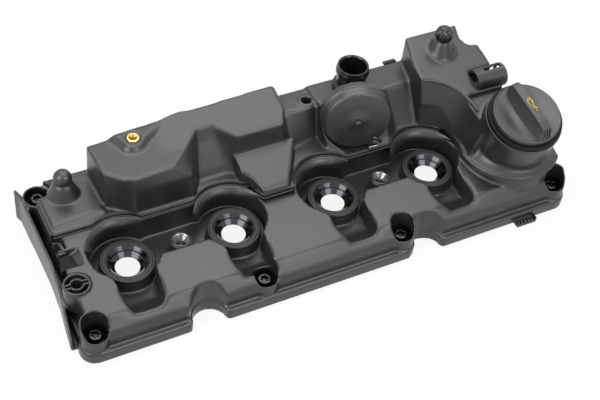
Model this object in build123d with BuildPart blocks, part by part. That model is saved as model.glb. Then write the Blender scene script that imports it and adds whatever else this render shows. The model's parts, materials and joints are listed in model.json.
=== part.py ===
import os
from math import cos, radians, sin

from build123d import *

os.makedirs("parts", exist_ok=True)

# The frame: the origin sits under the middle of the cover, on the flange face.
# Features are measured from the first injector, so this datum moves them all at once.
row_x = -155.9            # first injector from the middle of the cover, along the row
row_y = -18.4             # injector row from the middle of the cover, the front is minus
pitch = 88.0              # spacing of the injectors
injectors = [0.0, pitch, 2 * pitch, 3 * pitch]

# Flange of the lower moulding
flange_front = -60.5
flange_back = 98.5
flange_left = -53.5
flange_right = 370.5
flange_height = 10.0
flange_corner = 12.0
wall = 3.2
body_front = -55.5
body_back = 92.0
body_left = -47.0
body_right = 366.0
scallops = [(43.2, -58.5, 13.6), (235.3, -57.2, 11.5)]     # spots and radii
scallop_step = 1.4        # the wall above the flange keeps a little more room
scallop_round = 4.5       # rounding of the corners beside each bite
clip_spot = (327.5, -62.0)     # harness clip tab at the foot of the flange
clip_size = (18.0, 8.0, 3.2)

# Deck of the lower moulding, as heights over the flange face
edge_height = 20.0
fold_y = -45.0
fold_height = 33.0
deck_back_height = 38.5
weld_low = 40.0           # top of the lower weld flange
weld_gap = 0.8            # shallow flash groove between the two weld flanges
weld_high = 43.6          # top of the upper weld flange
floor_height = 17.0       # floor of the wells, troughs and trenches

# Bolts along the front and the back
front_bolts = [(-43.5, -47.5), (92.7, -47.5), (213.2, -47.5), (359.6, -47.5)]
back_bolts = [(-42.3, 82.5), (92.7, 90.0), (213.2, 90.0), (359.6, 84.0)]
boss_r = 11.2
boss_ring_r = 12.8
boss_height = 21.0
back_boss_height = 35.0
recess_r = 9.9
seat_drop = 12.5          # depth of the bolt recess under the boss rim
grommet_r = recess_r - 0.1
sleeve_r = 5.4
sleeve_bore_r = 3.7
shank_r = 3.2
bolt_hole_r = sleeve_r + 0.1

# Injector seals
seal_r = 20.6             # rubber rim that caps the tower
seal_neck_r = 18.2        # part of the seal inside the tower
seal_top = 30.0
seal_foot = 22.0
tower_r = 20.8
tower_height = 26.0
well_r = 28.0
well_shift = 6.5
funnel_r = 15.6
funnel_bore_r = 9.5
bore_r = 17.0
trough_shift = [-1.0, 0.5, 2.5, 5.0]
ramp_start = -33.0        # the trough floor climbs from here to the front of the deck
ramp_end = -54.0
ramp_top = 32.0

# Cups for the two middle screws
cups = [(45.2, 4.0), (221.6, 4.4)]
cup_r = 8.6
cup_height = 29.0
cup_depth = 6.0
cup_seat_r = 6.9
cup_bore_r = 3.4
trenches = [(44.5, 56.0), (224.0, 56.0)]

# Harness socket and guard wall on the left
socket_spot = (-44.3, -13.0)
socket_r = 10.5
socket_height = 38.0
guard_thickness = 2.2
guard_height = 31.0
guard_path = [(-59.5, -42.0), (-57.5, -25.0), (-54.6, -5.0), (-52.9, 20.0), (-52.9, 60.0),
              (-53.2, 92.0), (-55.5, 99.0)]
guard_inside = [(-51.5, 92.0), (-51.5, -42.0)]

# Gasket in its groove under the flange
gasket_inset = 4.2
gasket_width = 3.6
gasket_depth = 6.0
gasket_fit = 0.1
gasket_proud = 0.8
gasket_past_boss = 1.8    # the line passes the bolt bosses with this much room

# Upper moulding: levels of the oil separator box and its neighbours
platform_height = 46.5
box_top = 78.0
plate_top = 72.0
middle_top = 75.0
block_back = 82.0         # where the sloping block on the right is highest
block_top = 98.0
block_slope = 0.25
block_step = 4.0
block_step_y = 17.5
block_step_x = 304.0
seal4_low_r = 31.0        # clearance cone round the last injector, low and high
seal4_high_r = 42.7
seal4_high_z = 85.0

# Oil filler
neck_base = (334.0, -13.0, 42.0)
neck_length = 40.7
neck_lean_x = -2.6        # the neck leans this many degrees to the left
neck_lean_y = 14.3        # and this many to the front
neck_r = 31.5
neck_bore_r = 21.0
skirt_centre = (334.4, -9.1)
skirt_r = 44.0
cap_r = 28.2
cap_rim = 5.0
cap_seal_r = 31.0
cap_seal_height = 4.2
plug_r = neck_bore_r - 0.35
grip_length = 54.0
grip_width = 24.0
grip_height = 12.0

# Pressure regulator cover, an upright disc facing the front
reg_centre = (210.2, 32.3, 72.0)
reg_turn = 16.0           # degrees the disc is turned to the left
reg_r = 28.0
reg_back_r = 29.2
reg_depth = 12.0

# Breather spigot, threaded insert and the open hole near the middle
spigot_spot = (222.5, 70.0)
spigot_top = 97.0
spigot_r = 12.8
spigot_bore_r = 10.9
insert_spot = (33.1, 71.8)
insert_r = 5.1
insert_bore_r = 3.1
pad_top = 82.0
hole_spot = (181.8, 69.2)

# Ball studs for the engine's top cover
left_stud = (-25.5, 67.5)
left_ball_z = 63.5
left_ball_r = 7.5
right_stud = (303.7, 65.0)
right_foot_z = 93.6
right_ball_z = 109.5
right_ball_r = 7.9

grip_turn = -86.0
baffle_height = 22.0

# Harness loop, a half tube that lies on the sloping block along the row
loop_from = 316.0
loop_to = 344.0
loop_y = 30.0
loop_z = 83.0
loop_r = 9.8
loop_bore_r = 7.4


def level(height):
    """A flat working plane over the flange face with its zero on the first injector."""
    return Plane(origin=(row_x, row_y, height))


def across(x):
    """An upright plane square to the row: its x runs to the back and its y runs up."""
    return Plane(origin=(row_x + x, row_y, 0), x_dir=(0, 1, 0), z_dir=(1, 0, 0))


def spot(x, y, z):
    """A point measured from the first injector, given in the frame of the cover."""
    return (row_x + x, row_y + y, z)


def scallop_circles(grow, mode=Mode.SUBTRACT):
    """The two round bites out of the front, grown by a given amount."""
    for x, y, r in scallops:
        with Locations((x, y)):
            Circle(r + grow, mode=mode)


def deck_line(drop=0.0):
    """Section of the body from the front wall over the deck to the back wall."""
    return [
        (body_front + drop, 0),
        (body_front + drop, edge_height - drop * 0.4),
        (body_front + 2.2 + drop * 0.8, edge_height + 3.6 - drop * 0.8),
        (fold_y + drop * 0.4, fold_height - drop),
        (-10.0, 36.0 - drop),
        (31.0, deck_back_height - drop),
        (33.0, weld_low - drop),
        (body_back - drop, weld_low - drop),
        (body_back - drop, 0),
    ]


def trough(x, shift, grow=0.0):
    """Outline of one trough from its seal well to the front of the deck."""
    left = (x - 18.5 - grow, 0)
    right = (x + 19.0 + grow, 0)
    front_left = (x - 14.0 + shift - grow, -42.0)
    front_right = (x + 13.0 + shift + grow, -42.0)
    Polygon(left, front_left, front_right, right, align=None)


def wells(grow, floor, top):
    """Everything that is open to the top of the deck, as one cutting tool."""
    with BuildPart() as tool:
        for x in injectors:
            with BuildSketch(level(floor)):
                with Locations((x, well_shift)):
                    Circle(well_r + grow)
            extrude(amount=top - floor)
        for x, shift in zip(injectors, trough_shift):
            with BuildSketch(level(floor)):
                trough(x, shift, grow)
                with Locations((x - 0.5 + shift, -39.5)):
                    Circle(13.5 + grow)
            extrude(amount=top - floor)
            with BuildSketch(across(x - 30)):
                Polygon((ramp_start - grow, floor), (ramp_end - grow, floor + ramp_top - floor_height),
                        (ramp_end - 12, floor + ramp_top - floor_height), (ramp_end - 12, floor), align=None)
            extrude(amount=60, mode=Mode.SUBTRACT)
        for x, size in trenches:
            with BuildSketch(level(floor)):
                with Locations((x, 9.6)):
                    RectangleRounded(size + 2 * grow, 34.6 + 2 * grow, 9.0 + grow)
            extrude(amount=top - floor)
    return tool.part


# The same tool is built twice, once to cut and once grown by the wall, so that the
# hollow underside leaves the wells standing with an even thickness.
open_wells = wells(0.0, floor_height, 60.0)
kept_wells = wells(wall, floor_height - wall, 60.0)

# Every bolt as a spot and the height of its boss rim
every_bolt = [(x, y, boss_height) for x, y in front_bolts]
every_bolt += [(x, y, back_boss_height) for x, y in back_bolts]

def bitten_outline(left, right, front, back, corner, grow):
    """A plate with rounded corners and the two round bites, their corners rounded as well."""
    with BuildSketch() as outline:
        with Locations(((left + right) / 2, (front + back) / 2)):
            RectangleRounded(right - left, back - front, corner)
        # between the third bolt and its bite the edge follows the bolt boss
        with Locations((scallops[1][0] - 9.0, front)):
            Rectangle(18.0, 2 * (front_bolts[2][1] + 3.0 - front), mode=Mode.SUBTRACT)
        with Locations(*front_bolts):
            Circle(boss_ring_r if front == flange_front else boss_r)
        scallop_circles(grow)
        bite = scallops[0]
        sides = outline.vertices().filter_by_position(Axis.Y, front - 0.1, front + 0.1)
        sides = sides.filter_by_position(Axis.X, bite[0] - 20, bite[0] + 20)
        fillet(sides, scallop_round)
        bite = scallops[1]
        sides = outline.vertices().filter_by_position(Axis.Y, front - 0.1, front + 0.1)
        sides = sides.filter_by_position(Axis.X, bite[0] + 4, bite[0] + 20)
        fillet(sides, scallop_round)
    return outline.sketch


# Outlines of the flange and of the body that stands on it
flange_outline = bitten_outline(flange_left, flange_right, flange_front, flange_back, flange_corner, 0.0)
body_outline = bitten_outline(body_left, body_right, body_front, body_back, 6.0, scallop_step)


def gasket_line(inset):
    """Area inside the line that runs round the flange at an inset, inside the bolts."""
    with Locations(((flange_left + flange_right) / 2, (flange_front + flange_back) / 2)):
        RectangleRounded(
            flange_right - flange_left - 2 * inset,
            flange_back - flange_front - 2 * inset,
            flange_corner - gasket_inset - gasket_width + 1.0,
        )
    with Locations(*front_bolts, *back_bolts):
        Circle(boss_r + gasket_past_boss + inset - gasket_inset, mode=Mode.SUBTRACT)
    scallop_circles(inset)


# The gasket, its groove and the opening inside both all follow that one line.
with BuildSketch() as gasket_inner:
    gasket_line(gasket_inset + gasket_width)
with BuildSketch() as gasket_ring:
    gasket_line(gasket_inset)
    add(gasket_inner.sketch, mode=Mode.SUBTRACT)
with BuildSketch() as groove_inner:
    gasket_line(gasket_inset + gasket_width + gasket_fit)
with BuildSketch() as groove_ring:
    gasket_line(gasket_inset - gasket_fit)
    add(groove_inner.sketch, mode=Mode.SUBTRACT)
with BuildSketch() as open_inside:
    gasket_line(gasket_inset + gasket_width + 2.4)


# Hollow underside: everything under the deck except bosses, wells and the flange ring.
with BuildPart() as hollow:
    with BuildSketch(across(body_left + wall)):
        Polygon(*deck_line(wall), align=None)
    extrude(amount=body_right - body_left - 2 * wall)
    with BuildSketch(level(0)):
        with Locations(*front_bolts):
            Circle(boss_r + wall)
        with Locations(*back_bolts):
            Circle(boss_r + wall)
        scallop_circles(scallop_step + wall, Mode.ADD)
        with Locations(socket_spot):
            Circle(socket_r + 1)
    extrude(amount=60, mode=Mode.SUBTRACT)
    with BuildSketch(level(22)):
        with Locations((body_left, 20.0)):
            Rectangle(33.0, 38.0)
    extrude(amount=60, mode=Mode.SUBTRACT)
    add(kept_wells, mode=Mode.SUBTRACT)
    with BuildSketch(level(0)):
        add(flange_outline)
        add(open_inside.sketch, mode=Mode.SUBTRACT)
    extrude(amount=flange_height - 2, mode=Mode.SUBTRACT)

# Thin guard wall down the left side, low at the front and full height at the back.
with BuildPart() as guard:
    with BuildSketch(level(0)):
        with BuildLine():
            Polyline(*guard_path)
        trace(line_width=guard_thickness)
    extrude(amount=guard_height)
    with BuildSketch(across(-70)):
        Polygon((-60.0, 9.0), (-42.0, 11.0), (-8.0, 24.0), (20.0, guard_height - 1),
                (60.0, guard_height + 0.1), (60.0, 60.0), (-60.0, 60.0), align=None)
    extrude(amount=22, mode=Mode.SUBTRACT)


# Lower moulding: flange, deck, wells, bolt bosses and the guard wall on the left.
with BuildPart() as cover_shell:
    with BuildSketch(level(0)):
        add(body_outline)
    extrude(amount=weld_low)
    with BuildSketch(across(body_left - 20)):
        Polygon(*deck_line(), (body_back, -1), (body_back + 30, -1), (body_back + 30, 80),
                (body_front - 30, 80), (body_front - 30, -1), (body_front, -1), align=None)
    extrude(amount=body_right - body_left + 40, mode=Mode.SUBTRACT)
    with BuildSketch(level(0)):
        add(flange_outline)
    extrude(amount=flange_height)
    with BuildSketch(level(0)):
        with Locations(*front_bolts):
            Circle(boss_r)
    extrude(amount=boss_height)
    with BuildSketch(level(0)):
        with Locations(*back_bolts):
            Circle(boss_r)
    extrude(amount=back_boss_height)
    with BuildSketch(level(back_boss_height)):
        with Locations(*back_bolts):
            Circle(boss_r + 0.6)
    extrude(amount=30, mode=Mode.SUBTRACT)
    # harness clip tab at the foot of the flange
    with BuildSketch(level(0)):
        with Locations(clip_spot):
            Rectangle(clip_size[0], clip_size[1])
    extrude(amount=clip_size[2])
    # notch in the left edge of the deck with a sloping floor, and an open slot behind it
    with BuildSketch(Plane(origin=spot(0, 20.0, 0), x_dir=(1, 0, 0), z_dir=(0, -1, 0))):
        Polygon((body_left - 4, 25.0), (-32.5, 36.0), (-32.5, 60.0), (body_left - 4, 60.0), align=None)
    extrude(amount=16.0, mode=Mode.SUBTRACT)
    with BuildSketch(level(27.0)):
        with Locations((body_left + 1.0, 29.5)):
            Rectangle(12.0, 15.0)
    extrude(amount=40, mode=Mode.SUBTRACT)
    # groove for the gasket
    with BuildSketch(level(0)):
        add(groove_ring.sketch)
    extrude(amount=gasket_depth, mode=Mode.SUBTRACT)
    # raised ring under the filler skirt
    with BuildSketch(level(fold_height - 6)):
        with Locations(skirt_centre):
            Circle(skirt_r - 1.5)
        with Locations((body_right + 50, 0)):
            Rectangle(100, 200, mode=Mode.SUBTRACT)
    extrude(amount=weld_low - fold_height + 6)
    # harness socket
    with BuildSketch(level(16)):
        with Locations(socket_spot):
            Circle(socket_r)
    extrude(amount=socket_height - 16)
    # the wells, and the hollow underside that keeps them standing
    add(open_wells, mode=Mode.SUBTRACT)
    add(hollow.part, mode=Mode.SUBTRACT)
    with BuildSketch(level(22)):
        with Locations(socket_spot):
            Circle(socket_r - 1.8)
    extrude(amount=40, mode=Mode.SUBTRACT)
    # towers that hold the injector seals
    with BuildSketch(level(floor_height - wall)):
        for x in injectors:
            with Locations((x, 0)):
                Circle(tower_r)
    extrude(amount=tower_height - floor_height + wall)
    with BuildSketch(level(floor_height - wall - 1)):
        for x in injectors:
            with Locations((x, 0)):
                Circle(bore_r)
    extrude(amount=40, mode=Mode.SUBTRACT)
    with BuildSketch(level(seal_foot)):
        for x in injectors:
            with Locations((x, 0)):
                Circle(seal_neck_r)
    extrude(amount=20, mode=Mode.SUBTRACT)
    # cups for the middle screws
    with BuildSketch(level(floor_height - wall)):
        with Locations(*cups):
            Circle(cup_r)
    extrude(amount=cup_height - floor_height + wall)
    with BuildSketch(level(cup_height - cup_depth)):
        with Locations(*cups):
            Circle(cup_seat_r)
    extrude(amount=20, mode=Mode.SUBTRACT)
    with BuildSketch(level(0)):
        with Locations(*cups):
            Circle(cup_bore_r)
    extrude(amount=40, mode=Mode.SUBTRACT)
    # guard wall down the left side, standing on a thin shelf of the flange
    add(guard.part)
    with BuildSketch(level(0)):
        Polygon(*(guard_path + guard_inside), align=None)
    extrude(amount=2.5)
    # bolt recesses and bolt holes
    for x, y, rim in every_bolt:
        with BuildSketch(level(rim - seat_drop)):
            with Locations((x, y)):
                Circle(recess_r)
        extrude(amount=30, mode=Mode.SUBTRACT)
        with BuildSketch(level(-1)):
            with Locations((x, y)):
                Circle(bolt_hole_r)
        extrude(amount=40, mode=Mode.SUBTRACT)

# Wavy spring walls across the harness socket
with BuildPart() as socket_springs:
    for side in (1, -1):
        with BuildSketch(level(22)):
            with BuildLine():
                Spline(
                    (socket_spot[0] - socket_r + 2.6, socket_spot[1] + 2.0 * side),
                    (socket_spot[0] - 5.0, socket_spot[1] + 2.0 * side),
                    (socket_spot[0], socket_spot[1] + 4.6 * side),
                    (socket_spot[0] + 5.0, socket_spot[1] + 2.0 * side),
                    (socket_spot[0] + socket_r - 2.6, socket_spot[1] + 2.0 * side),
                )
            trace(line_width=1.1)
        extrude(amount=socket_height - 22.5)

# Gasket
with BuildPart() as cover_gasket:
    with BuildSketch(level(-gasket_proud)):
        add(gasket_ring.sketch)
    extrude(amount=gasket_depth + gasket_proud - 0.2)


# Injector seals: a rubber ring and the bright metal funnel pressed into it
def seal_ring(x):
    with BuildPart() as ring:
        with BuildSketch(across(x)):
            Polygon(
                (funnel_r + 0.2, seal_foot), (seal_neck_r - 0.1, seal_foot),
                (seal_neck_r - 0.1, tower_height + 0.05), (seal_r, tower_height + 0.05),
                (seal_r, seal_top - 1.4), (seal_r - 1.4, seal_top), (funnel_r + 1.4, seal_top),
                (funnel_r + 0.2, seal_top - 0.8),
                align=None,
            )
        revolve(axis=Axis((row_x + x, row_y, 0), (0, 0, 1)))
    return ring.part


def seal_funnel(x):
    with BuildPart() as funnel:
        with BuildSketch(across(x)):
            Polygon(
                (funnel_bore_r, seal_foot), (funnel_r, seal_foot), (funnel_r, seal_top - 0.9),
                (funnel_r - 1.4, seal_top - 0.9), (funnel_bore_r, seal_foot + 1.2),
                align=None,
            )
        revolve(axis=Axis((row_x + x, row_y, 0), (0, 0, 1)))
    return funnel.part


# Bolts, their rubber grommets and the spacer sleeves that stop the rubber being crushed
with BuildPart() as bolt_sleeves:
    for x, y, rim in every_bolt:
        with BuildSketch(level(0)):
            with Locations((x, y)):
                Circle(sleeve_r)
                Circle(sleeve_bore_r, mode=Mode.SUBTRACT)
        extrude(amount=rim - 9.0)

with BuildPart() as bolt_grommets:
    for x, y, rim in every_bolt:
        with BuildSketch(level(rim - seat_drop)):
            with Locations((x, y)):
                Circle(grommet_r)
                Circle(sleeve_r + 0.1, mode=Mode.SUBTRACT)
        extrude(amount=seat_drop - 1.2)
        with BuildSketch(level(rim - 9.0)):
            with Locations((x, y)):
                Circle(7.8)
        extrude(amount=20, mode=Mode.SUBTRACT)

with BuildPart() as cover_bolts:
    for x, y, rim in every_bolt:
        with BuildSketch(level(1.5)):
            with Locations((x, y)):
                Circle(shank_r)
        extrude(amount=rim - 9.0 - 1.5)
        with BuildSketch(level(rim - 8.8)):
            with Locations((x, y)):
                Circle(7.4)
        extrude(amount=1.8)
        with BuildSketch(level(rim - 9.0)):
            with Locations((x, y)):
                Circle(shank_r)
        extrude(amount=2.0)
        with BuildSketch(level(rim - 7.2)):
            with Locations((x, y)):
                Circle(5.0)
        extrude(amount=5.2)
        with BuildSketch(level(rim - 5.0)):
            with Locations((x, y)):
                with PolarLocations(2.2, 6):
                    Circle(1.0)
                Circle(2.3)
        extrude(amount=6, mode=Mode.SUBTRACT)

# Conical sleeves in the two middle cups
with BuildPart() as cup_sleeves:
    for x, y in cups:
        with BuildSketch(Plane(origin=spot(x, y, 0), x_dir=(0, 1, 0), z_dir=(1, 0, 0))):
            Polygon(
                (cup_bore_r - 0.7, 14.0), (cup_bore_r - 0.1, 14.0), (cup_bore_r - 0.1, cup_height - cup_depth),
                (cup_seat_r - 0.1, cup_height - cup_depth), (cup_seat_r - 0.1, cup_height + 0.4),
                (cup_seat_r - 0.9, cup_height + 0.4), (cup_bore_r - 0.7, cup_height - cup_depth + 0.8),
                align=None,
            )
        revolve(axis=Axis(spot(x, y, 0), (0, 0, 1)))

# Oil filler: planes that lean with the neck
lean = (sin(radians(neck_lean_x)), -sin(radians(neck_lean_y)), 1.0)
neck_plane = Plane(origin=spot(*neck_base), x_dir=(1, 0, 0.0456), z_dir=lean)
neck_top = neck_plane.offset(neck_length)
flare_plane = Plane(origin=spot(334.2, -13.6, 48.5), x_dir=(1, 0, 0), z_dir=(0, -sin(radians(5)), 1))


# Plane of the regulator cover face, looking to the front and a little to the left
reg_plane = Plane(
    origin=spot(*reg_centre),
    x_dir=(cos(radians(reg_turn)), -sin(radians(reg_turn)), 0),
    z_dir=(-sin(radians(reg_turn)), -cos(radians(reg_turn)), 0.07),
)

# Block on the right: a sloping top, a step to the filler, a clearance cone on its left front.
with BuildPart() as right_block:
    with BuildSketch(level(weld_high)):
        Polygon((279, 84), (272.5, 56), (272.5, -14), (338, -14), (339, 39), (338, 61),
                (328.5, 63.5), (325.5, 71), (328.5, 84), align=None)
    extrude(amount=block_top + 4 - weld_high)
    with BuildSketch(across(262)):
        Polygon(
            (-30, block_top - block_slope * (block_back + 30)),
            (block_back, block_top),
            (90, block_top),
            (90, 130),
            (-30, 130),
            align=None,
        )
    extrude(amount=90, mode=Mode.SUBTRACT)
    step_top = block_top - block_slope * (block_back - block_step_y)
    with BuildSketch(across(block_step_x)):
        Polygon(
            (block_step_y, 130),
            (block_step_y, step_top - block_step),
            (-30, step_top - block_step - block_slope * (block_step_y + 30)),
            (-30, 130),
            align=None,
        )
    extrude(amount=90, mode=Mode.SUBTRACT)
    with BuildSketch(level(weld_low)):
        with Locations((injectors[3], 0)):
            Circle(seal4_low_r)
    with BuildSketch(level(seal4_high_z + 20)):
        with Locations((injectors[3], 0)):
            Circle(seal4_low_r + (seal4_high_r - seal4_low_r) * 65 / 45)
    loft(mode=Mode.SUBTRACT)


# Upper moulding: the welded oil separator housing with platform, filler neck and mounts.
with BuildPart() as separator_housing:
    # weld flange
    with BuildSketch(level(weld_low + weld_gap)):
        Polygon((-46, 88), (-46, 32), (-16, 32), (-16, 26.9), (116, 26.9), (116, 10.2), (151, 10.2),
                (151, 24.5), (292, 24.5), (292, -2), (body_right, -2), (body_right, 88), align=None)
        with Locations(skirt_centre):
            Circle(skirt_r)
        with Locations((body_right + 50, 0)):
            Rectangle(100, 200, mode=Mode.SUBTRACT)
        for x in injectors:
            with Locations((x, well_shift)):
                Circle(well_r + 1.6, mode=Mode.SUBTRACT)
        with Locations(back_bolts[0]):
            Circle(boss_r + 0.6, mode=Mode.SUBTRACT)
        with Locations(back_bolts[3]):
            Circle(boss_r + 0.6, mode=Mode.SUBTRACT)
    extrude(amount=weld_high - weld_low - weld_gap)
    with BuildSketch(level(weld_low)):
        Polygon((-44, 86), (-44, 34), (0, 37), (20, 34), (72, 40), (110, 34), (118, 14), (149, 14),
                (152, 38), (200, 38), (250, 40), (296, 27), (300, 0), (360, 0), (360, 70),
                (340, 86), align=None)
        with Locations(back_bolts[0]):
            Circle(boss_r + 0.6, mode=Mode.SUBTRACT)
    extrude(amount=weld_gap + 0.4)
    # left platform
    with BuildSketch(level(weld_high)):
        Polygon((-45, 84), (-45.2, 37), (-2, 40), (2, 84), align=None)
        with Locations(back_bolts[0]):
            Circle(boss_r + 0.6, mode=Mode.SUBTRACT)
    extrude(amount=platform_height - weld_high, taper=8)
    # separator box with the valley behind the second injector
    box_levels = [
        (weld_high, [(-1.5, 84), (0, 44.5), (11, 36.5), (19, 29.5), (67, 29.5), (76.5, 43.5),
                     (101, 43.5), (109, 41), (152, 42), (158, 46), (164, 86)]),
        (50.0, [(-1.6, 83.5), (-0.2, 45), (11.3, 36.2), (19, 30), (67, 30), (77, 46.5), (101, 46.5),
                (109, 43), (152, 44), (158, 47), (164, 86)]),
        (67.0, [(-1.8, 81.5), (-0.5, 46.5), (11.8, 35.8), (19, 31), (66, 31), (80, 57), (97, 57),
                (109.5, 46), (151, 45.5), (157, 56), (162.5, 86)]),
        (box_top, [(-2.2, 79.5), (-0.8, 48.3), (12.3, 34.9), (19.1, 32.2), (51.6, 34.9),
                   (82.9, 63.8), (94.8, 63.9), (110.7, 46.9), (150, 46.6), (157, 60.6),
                   (160.8, 86)]),
    ]
    for lower, upper in zip(box_levels, box_levels[1:]):
        for height, corners in (lower, upper):
            with BuildSketch(level(height)):
                Polygon(*corners, align=None)
        loft(ruled=True)
    # low block with a sloping top between the second and third injectors
    with BuildSketch(across(107)):
        Polygon((10.8, weld_high), (11.6, 47.0), (14.5, 48.6), (47, 60), (47, weld_high), align=None)
    extrude(amount=54)
    with BuildSketch(level(weld_high)):
        Polygon((162, 47.2), (150.5, 28), (141, 12.5), (137, 9), (137, 0), (170, 0), (170, 47.2), align=None)
    extrude(amount=30, mode=Mode.SUBTRACT)
    # plate with the open hole, then the middle block behind the regulator
    for height, corners in (
        (weld_high, [(150, 85), (151, 46), (164, 50), (189, 54), (190, 85)]),
        (plate_top, [(158, 84.5), (160, 64), (173, 61.5), (188, 60.5), (189, 84.5)]),
    ):
        with BuildSketch(level(height)):
            Polygon(*corners, align=None)
    loft(ruled=True)
    for height, corners in (
        (weld_high, [(186, 86.5), (188, 38), (197, 30), (243, 30), (252, 37), (278, 37), (284, 86.5)]),
        (middle_top, [(188, 83.5), (188, 60), (197, 48.5), (240, 48.5), (247, 56), (273, 57),
                      (279, 83.5)]),
    ):
        with BuildSketch(level(height)):
            Polygon(*corners, align=None)
    loft(ruled=True)
    # round seat of the regulator cover, reaching back into the middle block
    with BuildSketch(reg_plane.offset(-reg_depth)):
        Circle(reg_back_r - 1.6)
    extrude(amount=-6)
    with BuildSketch(reg_plane.offset(-reg_depth)):
        Circle(reg_back_r + 0.4)
    extrude(amount=40, mode=Mode.SUBTRACT)
    add(right_block.part)
    # filler neck on its flared skirt
    with BuildSketch(level(weld_high)):
        with Locations((skirt_centre[0], skirt_centre[1] - 2.5)):
            Circle(neck_r + 8.5)
    with BuildSketch(flare_plane):
        Circle(neck_r + 3.0)
    with BuildSketch(neck_plane.offset(12)):
        Circle(neck_r)
    loft(ruled=True)
    with BuildSketch(neck_plane.offset(11)):
        Circle(neck_r)
    extrude(amount=neck_length - 11)
    with BuildSketch(level(weld_low + weld_gap)):
        with Locations((body_right + 50, 0)):
            Rectangle(100, 200)
    extrude(amount=12, mode=Mode.SUBTRACT)
    # clearance cones round the second, third and fourth injectors
    for x in injectors[1:]:
        with BuildSketch(level(weld_low)):
            with Locations((x, well_shift)):
                Circle(well_r + 1.6)
        with BuildSketch(level(64)):
            with Locations((x, well_shift)):
                Circle(well_r + 4.5)
        loft(mode=Mode.SUBTRACT)
    # raised mound for the threaded insert, and its hole
    with BuildSketch(level(box_top)):
        Polygon((14.3, 80.2), (18.7, 70.2), (22.7, 61.7), (26, 59), (31, 58), (37, 59.4), (45, 66.8),
                (66, 75), (86, 84.4), align=None)
    with BuildSketch(level(pad_top)):
        Polygon((20.6, 80.4), (23.4, 73.1), (25.0, 64.4), (27.2, 62.2), (31.5, 61.2), (36, 62.6), (41, 68),
                (50, 76), (58, 82.4), align=None)
    loft(ruled=True)
    with BuildSketch(level(pad_top - 14)):
        with Locations(insert_spot):
            Circle(insert_r)
    extrude(amount=20, mode=Mode.SUBTRACT)
    # open hole with its raised ring
    with BuildSketch(level(plate_top - 2)):
        with Locations(hole_spot):
            Circle(6.6)
    extrude(amount=3.2)
    with BuildSketch(level(plate_top - 12)):
        with Locations(hole_spot):
            Circle(4.1)
    extrude(amount=20, mode=Mode.SUBTRACT)
    # seat and bore for the breather spigot
    with BuildSketch(level(middle_top - 3)):
        with Locations(spigot_spot):
            Circle(spigot_r + 2.4)
    extrude(amount=3)
    with BuildSketch(level(middle_top - 24)):
        with Locations(spigot_spot):
            Circle(spigot_bore_r)
    extrude(amount=40, mode=Mode.SUBTRACT)
    with BuildSketch(level(middle_top - 6)):
        with Locations(spigot_spot):
            Circle(spigot_r - 0.4)
    extrude(amount=20, mode=Mode.SUBTRACT)
    # cone and ball of the left stud
    with BuildSketch(level(platform_height - 1)):
        with Locations(left_stud):
            Circle(12.4)
    with BuildSketch(level(58)):
        with Locations(left_stud):
            Circle(5.4)
    loft()
    with Locations(spot(left_stud[0], left_stud[1], left_ball_z)):
        Sphere(left_ball_r)
    # cone of the right stud
    with BuildSketch(level(right_foot_z - 3)):
        with Locations(right_stud):
            Circle(13.0)
    with BuildSketch(level(right_ball_z - 5)):
        with Locations(right_stud):
            Circle(5.6)
    loft()
    # bed of the harness loop
    with BuildSketch(across(loop_from)):
        with Locations((loop_y, loop_z)):
            Circle(loop_r)
    extrude(amount=loop_to - loop_from, mode=Mode.SUBTRACT)
    # bore of the filler neck, and a flat cut where the housing meets the lower moulding
    with BuildSketch(neck_top):
        Circle(neck_bore_r)
    extrude(amount=-30, mode=Mode.SUBTRACT)
    with BuildSketch(level(weld_low - 30)):
        Rectangle(900, 400)
    extrude(amount=30, mode=Mode.SUBTRACT)

# Harness loop: a tube that lies half sunk in the sloping block, with a slot on top
with BuildPart() as harness_loop:
    with BuildSketch(across(loop_from)):
        with Locations((loop_y, loop_z)):
            Circle(loop_r)
            Circle(loop_bore_r, mode=Mode.SUBTRACT)
    extrude(amount=loop_to - loop_from)
    with BuildSketch(level(loop_z)):
        with Locations((335.0, loop_y + 3.5)):
            RectangleRounded(14, 4.4, 1.2)
    extrude(amount=30, mode=Mode.SUBTRACT)

# Baffle plate over the cam chamber, spot welded to ribs under the roof
with BuildPart() as baffle_plate:
    with BuildSketch(level(baffle_height)):
        with Locations(((body_left + body_right) / 2, 62.0)):
            RectangleRounded(body_right - body_left - 24, 46.0, 6.0)
        with Locations(*back_bolts):
            Circle(boss_r + wall + 1.5, mode=Mode.SUBTRACT)
        with GridLocations(44, 20, 8, 1):
            with Locations((159.5, 50.0)):
                Circle(3.0, mode=Mode.SUBTRACT)
    extrude(amount=2.0)
    with BuildSketch(level(baffle_height + 2.0)):
        with Locations((159.5, 66.0)):
            with GridLocations(pitch, 10, 4, 1):
                Circle(3.5)
    extrude(amount=weld_low - wall - baffle_height - 2.1)

# Oil filler cap: lid with a grip bar, and the plug that turns in the neck
with BuildPart() as filler_cap:
    with BuildSketch(neck_top.offset(cap_seal_height)):
        Circle(cap_r)
    extrude(amount=cap_rim)
    fillet(filler_cap.edges().filter_by(GeomType.CIRCLE).sort_by(Axis.Z)[-1], 1.6)
    with BuildSketch(neck_top.offset(cap_seal_height + cap_rim - 1)):
        SlotOverall(grip_length, grip_width, rotation=grip_turn)
    extrude(amount=grip_height + 1, taper=24)
    with BuildSketch(neck_top.offset(cap_seal_height)):
        Circle(plug_r - 4)
    extrude(amount=-cap_seal_height - 1)
    with BuildSketch(neck_top.offset(-1)):
        Circle(plug_r)
    extrude(amount=-9)
    with BuildSketch(neck_top.offset(-10)):
        Circle(plug_r - 3)
    extrude(amount=-5)

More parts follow.
